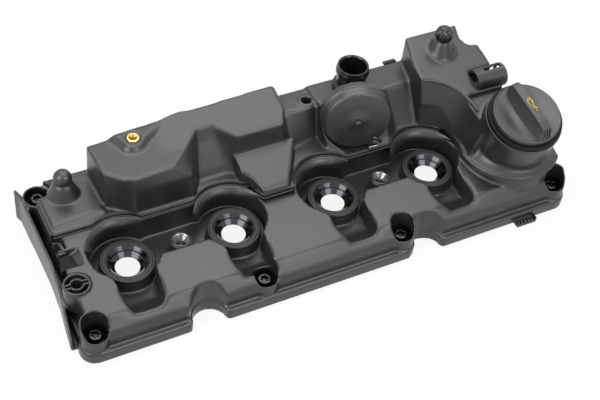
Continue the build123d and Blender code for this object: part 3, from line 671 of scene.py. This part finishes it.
# heights from the rim of the hole
GROMMET_CUP = [(5.6, -12.4), (9.75, -12.4), (9.75, -1.3), (9.5, -1.1), (9.3, -1.4), (9.1, -7.6),
               (8.2, -8.9), (5.6, -9.1)]
work = bmesh.new()
for spot, rim in zip(BOLTS, BOLT_RIMS):
    seat = rim - SEAT_DEPTH
    spin(work, SHANK_FOOT + [(r, seat + h, *star) for r, h, *star in HEAD], spot, closed=False)
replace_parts(settle("bolt_heads", work, "bolt_black", soften=0.15), "cover_bolts")
work = bmesh.new()
for spot, rim in zip(BOLTS, BOLT_RIMS):
    spin(work, [(r, rim + h) for r, h in GROMMET_CUP], spot)
cups = settle("grommet_cups", work, "rubber_black", soften=0.15)
# the cups sit deep in the bolt holes: their darker rubber is painted shade
cups.data.materials[0] = finishes["rubber_painted_shade"]
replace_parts(cups, "bolt_grommets")
print("bolts:", len(BOLTS))

# %% Conical sleeves in the two middle cups
CUP_CONE = [(2.7, 14.0), (3.25, 14.0), (3.25, 23.0), (6.8, 23.0), (6.8, 29.4), (6.5, 29.5),
            (6.1, 29.2), (5.6, 28.4), (4.2, 26.6), (3.0, 25.1), (2.7, 24.6)]
work = bmesh.new()
for spot in CUPS:
    spin(work, CUP_CONE, spot)
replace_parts(settle("cup_cones", work, "sleeve_steel", soften=0.1), "cup_sleeves")
print("sleeves:", len(CUPS))

# %% Fuller cone of the left stud
LEFT_STUD = (-25.5, 67.5)
LEFT_CONE = [(12.7, 46.2), (11.9, 47.4), (11.0, 49.5), (9.6, 53.0), (8.6, 55.8), (7.8, 57.6),
             (6.9, 58.7), (6.3, 59.3), (6.0, 60.4), (0.0, 60.4)]
work = bmesh.new()
spin(work, LEFT_CONE, LEFT_STUD, steps=96, closed=False)
settle("left_stud_cone", work, "moulding_grey", soften=0)
print("left cone up to", LEFT_CONE[-1][1], "mm")

# %% [markdown]
# A screw thread is a wall whose radius depends on height and angle together: the ridge
# climbs by one pitch on each turn. The ball of the right stud is a profile with ten grooves,
# which are deepest at its widest place.

# %% Threaded insert and the ball of the right stud
INSERT_FOOT = 68.1
INSERT_TOP = 82.0
INSERT_WALL = [(3.9, INSERT_TOP), (4.6, INSERT_TOP), (5.05, INSERT_TOP - 0.3),
               (5.05, INSERT_FOOT)]
THREAD_PITCH = 1.25
THREAD_R = 3.1
THREAD_DEPTH = 0.45
THREAD_STEPS = 60
THREAD_ROWS = int((INSERT_TOP - INSERT_FOOT) / 0.12)
work = bmesh.new()
walls = []
for row in range(THREAD_ROWS + 1):
    height = INSERT_FOOT + (INSERT_TOP - INSERT_FOOT) * row / THREAD_ROWS
    ring = []
    for k in range(THREAD_STEPS):
        share = k / THREAD_STEPS
        phase = (height / THREAD_PITCH - share) % 1.0
        reach = THREAD_R + THREAD_DEPTH * abs(2.0 * phase - 1.0)
        angle = 2 * math.pi * share
        ring.append(work.verts.new(place(INSERT[0] + reach * math.cos(angle),
                                         INSERT[1] + reach * math.sin(angle), height)))
    walls.append(ring)
for reach, height in INSERT_WALL:
    walls.append([work.verts.new(place(INSERT[0] + reach * math.cos(angle),
                                       INSERT[1] + reach * math.sin(angle), height))
                  for angle in full_turn(THREAD_STEPS)])
skin(work, walls, closed=True)
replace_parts(settle("insert_thread", work, "insert_brass", soften=0), "threaded_insert")

RIGHT_STUD = (303.7, 65.0)
BALL_HEIGHT = 109.5
BALL_R = 7.85
BALL_GROOVE = 0.42
BALL_ROWS = 28
low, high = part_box("right_ball")
profile = []
for k in range(BALL_ROWS + 1):
    angle = math.radians(-52 + 142 * k / BALL_ROWS)
    groove = BALL_GROOVE * max(0.0, math.cos(angle)) ** 0.5
    profile.append((BALL_R * math.cos(angle) - groove,
                    BALL_HEIGHT + BALL_R * math.sin(angle), groove))
work = bmesh.new()
spin(work, profile, RIGHT_STUD, steps=160, closed=False, points=10)
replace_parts(settle("stud_ball", work, "gloss_black", soften=0), "right_ball")
print("insert and ball made; CAD ball from", round(low[2], 4), "to", round(high[2], 4))

# %% [markdown]
# ## Filler cap
# The cap has a dished disc with a finger scoop on each side of a tall grip bar, and ribs down
# the end of the bar. The disc is a fan of rings whose heights are pressed down where fingers
# go, and the bar is a row of cross-sections joined into a skin. Both are made in the plane of
# the neck, and a matrix from the CAD joint stands them on it. The rim of the neck is made in
# the same plane, but stays on the cover.

# %% Cap disc, grip, end ribs and the rim of the neck
CAP_JOINT = [j for j in frame["joints"] if j["name"] == "filler_cap_turn"][0]
cap_up = Vector(CAP_JOINT["axis"]).normalized()
cap_side = Vector((1.0, 0.0, 0.0456))
cap_side = (cap_side - cap_up * cap_side.dot(cap_up)).normalized()
cap_back = cap_up.cross(cap_side)
cap_stand = Matrix((cap_side, cap_back, cap_up)).transposed().to_4x4()
cap_stand.translation = Vector(CAP_JOINT["pos_m"])
grip_turn = Matrix.Rotation(math.radians(-86.0), 4, "Z")
CAP_STEPS = 144
CAP_R = 28.2
CAP_AXIS_R = 0.02
DISC_FOOT = 4.2
DISC_TOP = 9.2
BOWL_DEPTH = 0.7
SCOOP_DEPTH, SCOOP_ACROSS = 1.3, 13.5
SCOOP_WIDTH, SCOOP_LENGTH = 6.0, 14.0
DISC_REACHES = [CAP_AXIS_R] + [CAP_R * k / 40 for k in range(1, 39)]
# round the edge of the disc, under it and down the plug
DISC_EDGE = [(27.2, DISC_TOP - 0.1), (27.8, DISC_TOP - 0.35), (28.1, DISC_TOP - 0.9),
             (CAP_R, DISC_TOP - 1.6), (CAP_R, DISC_FOOT + 0.6), (27.8, DISC_FOOT),
             (17.0, DISC_FOOT), (16.6, -0.9), (20.6, -1.0), (20.6, -10.0), (17.6, -10.0),
             (17.6, -14.9), (CAP_AXIS_R, -14.9)]
# each station of the bar: place along it, half width at foot and top, height of foot and top
GRIP_STATIONS = [(-25.0, 4.2, 2.9, 6.8, 15.5), (-23.8, 5.8, 3.3, 6.4, 19.2),
                 (-20.5, 7.4, 3.6, 5.6, 20.7), (-11.0, 8.6, 3.9, 5.0, 21.0),
                 (0.0, 9.0, 4.0, 5.0, 21.1), (12.0, 8.6, 3.9, 5.0, 21.0),
                 (20.0, 7.9, 3.8, 5.6, 20.6), (23.6, 7.4, 3.6, 6.2, 19.4),
                 (25.8, 6.9, 3.4, 6.6, 14.0), (27.2, 6.3, 3.2, 7.0, 10.0)]
END_RIBS = (-2.6, 0.0, 2.6)
END_RIB_HALF = 0.55
END_RIB_SIDE = [(21.0, 20.3), (24.6, 19.8), (27.4, 13.0), (28.0, 8.6), (21.0, 8.6)]
NECK_RIM = [(31.2, -0.9), (31.75, -0.7), (31.9, -0.2), (31.75, 0.15), (31.2, 0.2), (30.6, 0.2)]


def cap_point(along, across, height):
    """A point on the cap: along and across the grip bar, in millimetres over the neck."""
    return cap_stand @ grip_turn @ (Vector((along, across, height)) * MM)


def disc_height(along, across):
    """The dished top of the disc, with a scoop on each side of the grip."""
    reach = math.hypot(along, across)
    bowl = BOWL_DEPTH * (1.0 - (reach / CAP_R) ** 2)
    scoop = SCOOP_DEPTH * math.exp(-((abs(across) - SCOOP_ACROSS) / SCOOP_WIDTH) ** 2
                                   - (along / SCOOP_LENGTH) ** 2)
    return DISC_TOP - 0.2 - bowl - scoop


def cap_ring(work, reach, height=None):
    """A ring of points over the neck, at a height or on the dished top of the disc."""
    ring = []
    for angle in full_turn(CAP_STEPS):
        along, across = reach * math.cos(angle), reach * math.sin(angle)
        level = disc_height(along, across) if height is None else height
        ring.append(work.verts.new(cap_point(along, across, level)))
    return ring


work = bmesh.new()
rings = [cap_ring(work, reach) for reach in DISC_REACHES]
rings += [cap_ring(work, reach, height) for reach, height in DISC_EDGE]
skin(work, rings)
cap_disc = settle("cap_disc", work, "cap_plastic", "filler_cap", soften=0.15)
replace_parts(cap_disc, "filler_cap")

work = bmesh.new()
sections = []
for along, foot_half, top_half, foot, top in GRIP_STATIONS:
    half = [(foot_half, foot), (foot_half * 0.45 + top_half * 0.55, foot * 0.5 + top * 0.5),
            (top_half, top - 0.5), (top_half - 0.8, top)]
    outline = [(-across, height) for across, height in half] + half[::-1]
    sections.append([work.verts.new(cap_point(along, across, height))
                     for across, height in outline])
skin(work, sections, flip=True)
close_ends(work, sections)
settle("cap_grip", work, "cap_plastic", "filler_cap", soften=0.5)

work = bmesh.new()
for across in END_RIBS:
    pairs = [[work.verts.new(cap_point(along, across + half, height))
              for half in (-END_RIB_HALF, END_RIB_HALF)] for along, height in END_RIB_SIDE]
    sides = [list(side) for side in zip(*pairs)]
    skin(work, sides, flip=True)
    close_ends(work, sides)
settle("cap_end_ribs", work, "cap_plastic", "filler_cap", soften=0.25)

work = bmesh.new()
skin(work, [cap_ring(work, reach, height) for reach, height in NECK_RIM], closed=True)
settle("neck_rim", work, "moulding_grey", soften=0)
print("cap stands at", tuple(round(v, 4) for v in cap_stand.translation))

# %% [markdown]
# The oil mark on the grip is a plain drawing of an oil can: a body, a spout, a handle and a
# drop. Thin strokes are laid on the bar as flat ribbons, a hair above its surface.

# %% Oil can mark
yellow = grained("mark_yellow", (0.62, 0.47, 0.03), (0.72, 0.56, 0.05), 0.5, edge_highlight=0.0)
MARK_STROKES = [
    [(-3.2, -1.6), (-3.2, 1.3), (1.2, 1.3), (1.2, -0.2), (4.6, 2.3)],
    [(-3.2, -1.6), (2.0, -1.6), (5.0, 1.9)],
    [(-3.2, 0.9), (-4.6, 1.6), (-4.6, -0.4), (-3.2, -0.9)],
    [(-1.8, 1.3), (-1.8, 2.2)],
    [(-2.7, 2.3), (-0.9, 2.3)],
    [(6.1, 1.2), (6.1, 0.3)],
]
GRIP_TOP = max(station[-1] for station in GRIP_STATIONS)
MARK_AT = (-1.2, 0.1)
MARK_LIFT = 0.04
MARK_WIDTH = 0.48
MARK_SCALE = 1.15
work = bmesh.new()
for stroke in MARK_STROKES:
    stroke = [(a * MARK_SCALE, b * MARK_SCALE) for a, b in stroke]
    for (a0, b0), (a1, b1) in zip(stroke, stroke[1:]):
        run = Vector((a1 - a0, b1 - b0))
        side = Vector((-run.y, run.x)).normalized() * MARK_WIDTH / 2
        ends = run.normalized() * MARK_WIDTH / 2
        corners = []
        for base, along, across in (((a0, b0), -1, 1), ((a0, b0), -1, -1),
                                    ((a1, b1), 1, -1), ((a1, b1), 1, 1)):
            point = Vector(base) + ends * along + side * across
            corners.append(work.verts.new(cap_point(
                MARK_AT[0] + point.x, MARK_AT[1] + point.y, GRIP_TOP + MARK_LIFT)))
        work.faces.new(corners)
mark = settle("oil_mark", work, "cap_plastic", "filler_cap", soften=0)
mark.data.materials[0] = yellow
print("mark strokes:", len(MARK_STROKES))

# %% [markdown]
# ## Wells and weld beads
# Each injector well has a round shoulder at its back, under the joint of the two mouldings.
# The upper moulding is vibration welded to the lower one. The melt squeezes out along the
# joint as two thin beads. Their path follows the front edge of the weld flange: straight
# stretches, and an arc round each injector well.

# %% Round shoulders at the back of the injector wells
WELL_Y = 6.5
SHOULDER_R = 29.2
SHOULDER = [(SHOULDER_R, 40.0), (28.0, 39.7), (26.9, 39.0), (25.8, 37.9), (24.8, 36.5),
            (24.1, 34.8), (23.9, 33.0), (24.3, 31.2), (25.4, 30.0), (SHOULDER_R, 29.6)]
SHOULDER_SPAN = [(40, 168), (12, 158), (34, 158), (12, 158)]
SHOULDER_ROWS = 60
for i, (x_row, (start, end)) in enumerate(zip(injectors, SHOULDER_SPAN), 1):
    work = bmesh.new()
    rows = []
    for k in range(SHOULDER_ROWS + 1):
        angle = math.radians(start + (end - start) * k / SHOULDER_ROWS)
        # the shoulder grows out of the wall at its right end, and fades a little at its left
        fullness = min(1.0, 0.12 + k / 16.0, 0.55 + (SHOULDER_ROWS - k) / 8.0)
        row = []
        for radius, height in SHOULDER:
            reach = SHOULDER_R - (SHOULDER_R - radius) * fullness
            row.append(work.verts.new(place(x_row + reach * math.cos(angle),
                                            WELL_Y + reach * math.sin(angle), height)))
        rows.append(row)
    skin(work, rows, flip=True)
    close_ends(work, rows)
    settle(f"well_shoulder_{i}", work, "moulding_grey", soften=0.4)
print("shoulders:", len(injectors))

# %% Weld beads along the joint
WELL_EDGE_R = 29.6
FRONT_EDGE = [(-46.0, 32.0), (-16.0, 32.0), (-16.0, 26.9), (116.0, 26.9), (116.0, 10.2),
              (151.0, 10.2), (151.0, 24.5), (288.0, 24.5)]
BEAD_R = 0.62
BEAD_HEIGHTS = {"low": 40.3, "high": 43.5}
BEAD_BACK = {"low": 0.0, "high": 0.9}


def weld_path(step=1.2, least=0.2):
    """Points of the front edge of the weld flange, round the wells, in millimetres."""
    points = []
    for (x0, y0), (x1, y1) in zip(FRONT_EDGE, FRONT_EDGE[1:]):
        parts = max(1, int(abs(x1 - x0) / step))
        for k in range(parts + 1):
            x = x0 + (x1 - x0) * k / parts
            y = y0 + (y1 - y0) * k / parts
            for x_row in injectors:
                inside = WELL_EDGE_R ** 2 - (x - x_row) ** 2
                if inside > 0:
                    y = max(y, WELL_Y + math.sqrt(inside))
            if not points or math.hypot(x - points[-1][0], y - points[-1][1]) > least:
                points.append((x, y))
    return points


def bead(name, points, radius, resolution=2, caps=False):
    """A round bead of moulding plastic along places in millimetres."""
    curve = bpy.data.curves.new(name, "CURVE")
    curve.dimensions = "3D"
    curve.bevel_depth = radius * MM
    curve.bevel_resolution = resolution
    curve.use_fill_caps = caps
    line = curve.splines.new("POLY")
    line.points.add(len(points) - 1)
    for point, spot in zip(line.points, points):
        point.co = (*place(*spot), 1.0)
    shape = new_piece(name, curve)
    mesh = evaluated(shape)
    bpy.data.objects.remove(shape)
    mesh.shade_smooth()
    return adopt(new_piece(name, mesh), "moulding_grey")


path = weld_path()
for kind, height in BEAD_HEIGHTS.items():
    bead(f"weld_bead_{kind}", [(x, y + BEAD_BACK[kind], height) for x, y in path], BEAD_R)
print("weld bead points:", len(path))

# %% [markdown]
# ## Harness loop and block rim
# The loop is a tube with a slot along its top and a window in its back. A grid of small
# cells is laid round the tube and along it, the cells of the slot and window are left out,
# and every kept cell gets an outer and an inner face, with walls where its neighbour is gone.

# %% Harness loop
LOOP_Y, LOOP_Z = 30.0, 83.0
LOOP_RADII = {"out": 9.75, "in": 7.4}
LOOP_FROM, LOOP_TO = 316.0, 344.0
LOOP_ROWS, LOOP_STEPS = 28, 72
# each opening: from and to along the loop in millimetres, and round it in degrees
LOOP_SLOT = (325.0, 341.0, 50.0, 96.0)
LOOP_WINDOW = (337.0, 342.0, -25.0, 36.0)


def loop_spot(row, step):
    """The place along the loop in millimetres and the angle round it in degrees."""
    return LOOP_FROM + row * (LOOP_TO - LOOP_FROM) / LOOP_ROWS, step * 360.0 / LOOP_STEPS


def loop_kept(row, step):
    """False beyond the ends, in the long slot on top and in the window at the back."""
    x, angle = loop_spot(row + 0.5, step + 0.5)
    angle = (angle + 180.0) % 360.0 - 180.0
    opened = any(x0 < x < x1 and a0 < angle < a1 for x0, x1, a0, a1 in (LOOP_SLOT, LOOP_WINDOW))
    return 0 <= row < LOOP_ROWS and not opened


work = bmesh.new()
grid = {}
for row in range(LOOP_ROWS + 1):
    for step in range(LOOP_STEPS):
        x, degrees = loop_spot(row, step)
        angle = math.radians(degrees)
        for side, radius in LOOP_RADII.items():
            grid[row, step, side] = work.verts.new(place(
                x, LOOP_Y + radius * math.cos(angle), LOOP_Z + radius * math.sin(angle)))
for row in range(LOOP_ROWS):
    for step in range(LOOP_STEPS):
        if not loop_kept(row, step):
            continue
        n = (step + 1) % LOOP_STEPS
        for side in LOOP_RADII:
            work.faces.new([grid[row, step, side], grid[row + 1, step, side],
                            grid[row + 1, n, side], grid[row, n, side]])
        # the four neighbours, each with the two corners that it shares with this cell
        walls = [(row - 1, step, (row, step), (row, n)),
                 (row + 1, step, (row + 1, step), (row + 1, n)),
                 (row, step - 1, (row, step), (row + 1, step)),
                 (row, step + 1, (row, n), (row + 1, n))]
        for next_row, next_step, one, other in walls:
            if not loop_kept(next_row, next_step):
                work.faces.new([grid[(*one, "out")], grid[(*other, "out")],
                                grid[(*other, "in")], grid[(*one, "in")]])
loose = [v for v in work.verts if not v.link_faces]
bmesh.ops.delete(work, geom=loose, context="VERTS")
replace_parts(settle("loop_tube", work, "moulding_grey", soften=0.5), "harness_loop")
print("loop from", LOOP_FROM, "to", LOOP_TO, "mm")

# %% [markdown]
# The front of the right block is cut by a cone round the last injector, and its roof slopes.
# The rim follows the line where the two meet: at each angle a few rounds settle the height,
# because the reach of the cone depends on the height and the roof on the reach.

# %% Rim round the curved front of the right block
RIM_R = 1.3
RIM_SUNK = 0.9
RIM_PARTS = 36
CONE_FOOT_R, CONE_TOP_R = 31.0, 42.7
CONE_FOOT, CONE_RISE = 40.0, 45.0
ROOF_BACK_Y, ROOF_BACK_Z, ROOF_SLOPE = 82.0, 98.0, 0.25


def block_roof(y):
    """Height of the sloping roof of the right block."""
    return ROOF_BACK_Z - ROOF_SLOPE * (ROOF_BACK_Y - y)


def cone_reach(height):
    """Radius of the clearance cone round the last injector."""
    return CONE_FOOT_R + (CONE_TOP_R - CONE_FOOT_R) * (height - CONE_FOOT) / CONE_RISE


rim = []
for k in range(RIM_PARTS + 1):
    angle = math.radians(76 - 72 * k / RIM_PARTS)
    height = 80.0
    for _ in range(4):
        reach = cone_reach(height)
        height = block_roof(reach * math.sin(angle))
    rim.append((injectors[3] + reach * math.cos(angle), reach * math.sin(angle),
                height - RIM_SUNK))
bead("block_rim", rim, RIM_R, resolution=3, caps=True)
print("rim points:", len(rim))

# %% [markdown]
# ## Small fittings
# The regulator cover is a shallow dome with a dimple in a small ring, spun round its own
# leaning axis. A peg and a bright spring clip hold it at its lower right. Round rods with
# domed ends make both, and also the ribs of the clip tab at the front of the flange.

# %% Regulator cover with its peg and spring clip
def rod(work, start, end, radius, sides=24):
    """A round rod with domed ends between two places in millimetres."""
    start, end = Vector(start), Vector(end)
    run = (end - start).normalized()
    side = run.orthogonal().normalized()
    other = run.cross(side)
    rings = []
    stations = [(start - run * radius * 0.6, 0.3), (start - run * radius * 0.25, 0.8),
                (start, 1.0), (end, 1.0),
                (end + run * radius * 0.25, 0.8), (end + run * radius * 0.6, 0.3)]
    for centre, share in stations:
        ring = []
        for angle in full_turn(sides):
            spot = centre + (side * math.cos(angle) + other * math.sin(angle)) * radius * share
            ring.append(work.verts.new(place(*spot)))
        rings.append(ring)
    skin(work, rings)
    close_ends(work, rings, flip_last=False)


REG_CENTRE = (210.2, 32.3, 72.0)
REG_TURN = math.radians(16.0)
REG_STEPS = 120
reg_out = Vector((-math.sin(REG_TURN), -math.cos(REG_TURN), 0.07)).normalized()
reg_side = Vector((math.cos(REG_TURN), -math.sin(REG_TURN), 0.0))
reg_up = reg_out.cross(reg_side)
REG_PROFILE = [(0.01, -1.0), (1.6, -1.0), (2.0, -0.6), (2.3, 0.0), (2.7, 0.35), (3.2, 0.0),
               (14.0, 0.0), (25.2, -0.05), (26.3, -0.3), (27.1, -0.8), (27.7, -1.6),
               (28.0, -2.6), (28.2, -5.0), (28.4, -8.6), (28.9, -8.8), (29.15, -9.2),
               (29.15, -11.9), (0.01, -11.9)]
work = bmesh.new()
rings = []
for reach, out in REG_PROFILE:
    ring = []
    for angle in full_turn(REG_STEPS):
        at = (reg_side * (reach * math.cos(angle)) + reg_up * (reach * math.sin(angle))
              + reg_out * out)
        ring.append(work.verts.new(place(*(Vector(REG_CENTRE) + at))))
    rings.append(ring)
skin(work, rings)
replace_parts(settle("regulator_dome", work, "cap_plastic", soften=0), "regulator_cover")

work = bmesh.new()
rod(work, (223.5, 25.5, 55.5), (230.0, 24.5, 50.0), 1.7)
settle("regulator_peg", work, "moulding_grey", soften=0)
work = bmesh.new()
rod(work, (219.5, 24.5, 46.5), (227.5, 23.5, 47.5), 1.1)
settle("regulator_spring", work, "sleeve_steel", soften=0)
print("regulator radius:", max(reach for reach, out in REG_PROFILE), "mm")

# %% Tabs for the hose behind the housing
HOSE_TABS = [(185.5, 66.6), (269.0, 73.6)]
HOSE_TAB_FRONT, HOSE_TAB_BACK, HOSE_TAB_DROP = 84.1, 87.6, 0.3
HOSE_TAB = [(-6.0, 0.2), (-5.0, 0.9), (5.0, 0.9), (6.0, 0.2), (6.0, -0.9), (-6.0, -0.9)]
work = bmesh.new()
for x, top in HOSE_TABS:
    prism(work, [(x + a, HOSE_TAB_FRONT, top + b) for a, b in HOSE_TAB],
          [(x + a, HOSE_TAB_BACK, top + b - HOSE_TAB_DROP) for a, b in HOSE_TAB])
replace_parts(settle("hose_tabs", work, "gloss_black", soften=0.3), "hose_clips")
print("hose tabs:", len(HOSE_TABS))

# %% Two bent clips in the round socket
CLIP_ARC_R = 4.9
CLIP_HALF = 0.75
CLIP_END = [(-9.2, 1.7), (-5.2, 1.7), (-4.3, 2.2)]
# each corner of the strip's section: side of the middle line, and height
CLIP_SECTION = [(-1, 22.0), (-1, 36.9), (-0.5, 37.4), (0.5, 37.4), (1, 36.9), (1, 22.0)]
clip_line = CLIP_END + [(CLIP_ARC_R * math.cos(math.radians(a)),
                         CLIP_ARC_R * math.sin(math.radians(a))) for a in range(148, 31, -9)]
clip_line += [(-a, b) for a, b in reversed(CLIP_END)]
work = bmesh.new()
for way in (1, -1):
    rows = []
    for k, (a, b) in enumerate(clip_line):
        before, after = clip_line[max(k - 1, 0)], clip_line[min(k + 1, len(clip_line) - 1)]
        run = Vector((after[0] - before[0], after[1] - before[1])).normalized()
        side = Vector((-run.y, run.x)) * CLIP_HALF
        rows.append([work.verts.new(place(SOCKET[0] + a + s * side.x,
                                          SOCKET[1] + way * (b + s * side.y), z))
                     for s, z in CLIP_SECTION])
    skin(work, rows, flip=True)
    close_ends(work, rows)
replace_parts(settle("socket_clips", work, "moulding_grey", soften=0.2), "socket_springs")
print("points along each clip:", len(clip_line))

# %% Bent strip in the notch of the left edge, and a black block that paints the shade of its pocket
STRIP_LINE = [(-46.5, 31.0), (-43.0, 30.6), (-41.6, 19.6), (-46.4, 19.2)]
STRIP_HALF, STRIP_OVER = 1.1, 0.9
STRIP_FOOT, STRIP_TOP = 25.0, 36.6
# the top corners of a black block in the pocket under the strip: painted shade
SHADE_BLOCK = [(-46.9, 18.4, 34.6), (-39.9, 17.0, 35.6), (-38.7, 4.3, 35.8), (-50.3, 4.3, 34.2)]
SHADE_BLOCK_DEPTH = 9.0
work = bmesh.new()
for (x0, y0), (x1, y1) in zip(STRIP_LINE, STRIP_LINE[1:]):
    run = Vector((x1 - x0, y1 - y0)).normalized()
    side = Vector((-run.y, run.x)) * STRIP_HALF
    over = run * STRIP_OVER
    corners = [(x + over.x * along + side.x * across, y + over.y * along + side.y * across)
               for x, y, along, across in ((x0, y0, -1, 1), (x0, y0, -1, -1),
                                           (x1, y1, 1, -1), (x1, y1, 1, 1))]
    prism(work, [(x, y, STRIP_FOOT) for x, y in corners],
          [(x, y, STRIP_TOP) for x, y in corners], flip_last=False)
settle("notch_strip", work, "moulding_grey", soften=0.3)
# The black block fills the pocket with painted shade, in the darker rubber.
work = bmesh.new()
prism(work, [(x, y, z - SHADE_BLOCK_DEPTH) for x, y, z in SHADE_BLOCK], SHADE_BLOCK, flip_last=False)
wedge = settle("notch_shade_block", work, "rubber_black", soften=0.5)
wedge.data.materials[0] = finishes["rubber_painted_shade"]
print("strip and wedge in the notch")

# %% Clip tab at the front of the flange
TAB_FROM, TAB_TO = 318.2, 336.8
CLIP_TAB_FRONT, CLIP_TAB_BACK = -65.98, -60.4
CLIP_TAB = [(TAB_FROM, 0.1), (TAB_TO, 0.1), (TAB_TO, 5.2), (TAB_TO - 1.2, 5.2),
            (TAB_TO - 1.5, 3.4), (TAB_FROM, 3.4)]
RIBS, RIB_PITCH, RIB_R, RIB_Z = 5, 3.2, 0.6, 3.4
RIB_FIRST, RIB_FRONT, RIB_BACK = 2.0, -65.4, -60.8
# The tab belongs to the grey shell; the gloss black cover laid over it is painted shade.
work = bmesh.new()
prism(work, [(x, CLIP_TAB_FRONT, z) for x, z in CLIP_TAB],
      [(x, CLIP_TAB_BACK, z) for x, z in CLIP_TAB])
settle("clip_tab_shade_cover", work, "gloss_black", soften=0.3)
work = bmesh.new()
for k in range(RIBS):
    x = TAB_FROM + RIB_FIRST + RIB_PITCH * k
    rod(work, (x, RIB_FRONT, RIB_Z), (x, RIB_BACK, RIB_Z), RIB_R, sides=12)
settle("clip_tab_ribs", work, "moulding_grey", soften=0)
print("clip tab ribs:", RIBS)
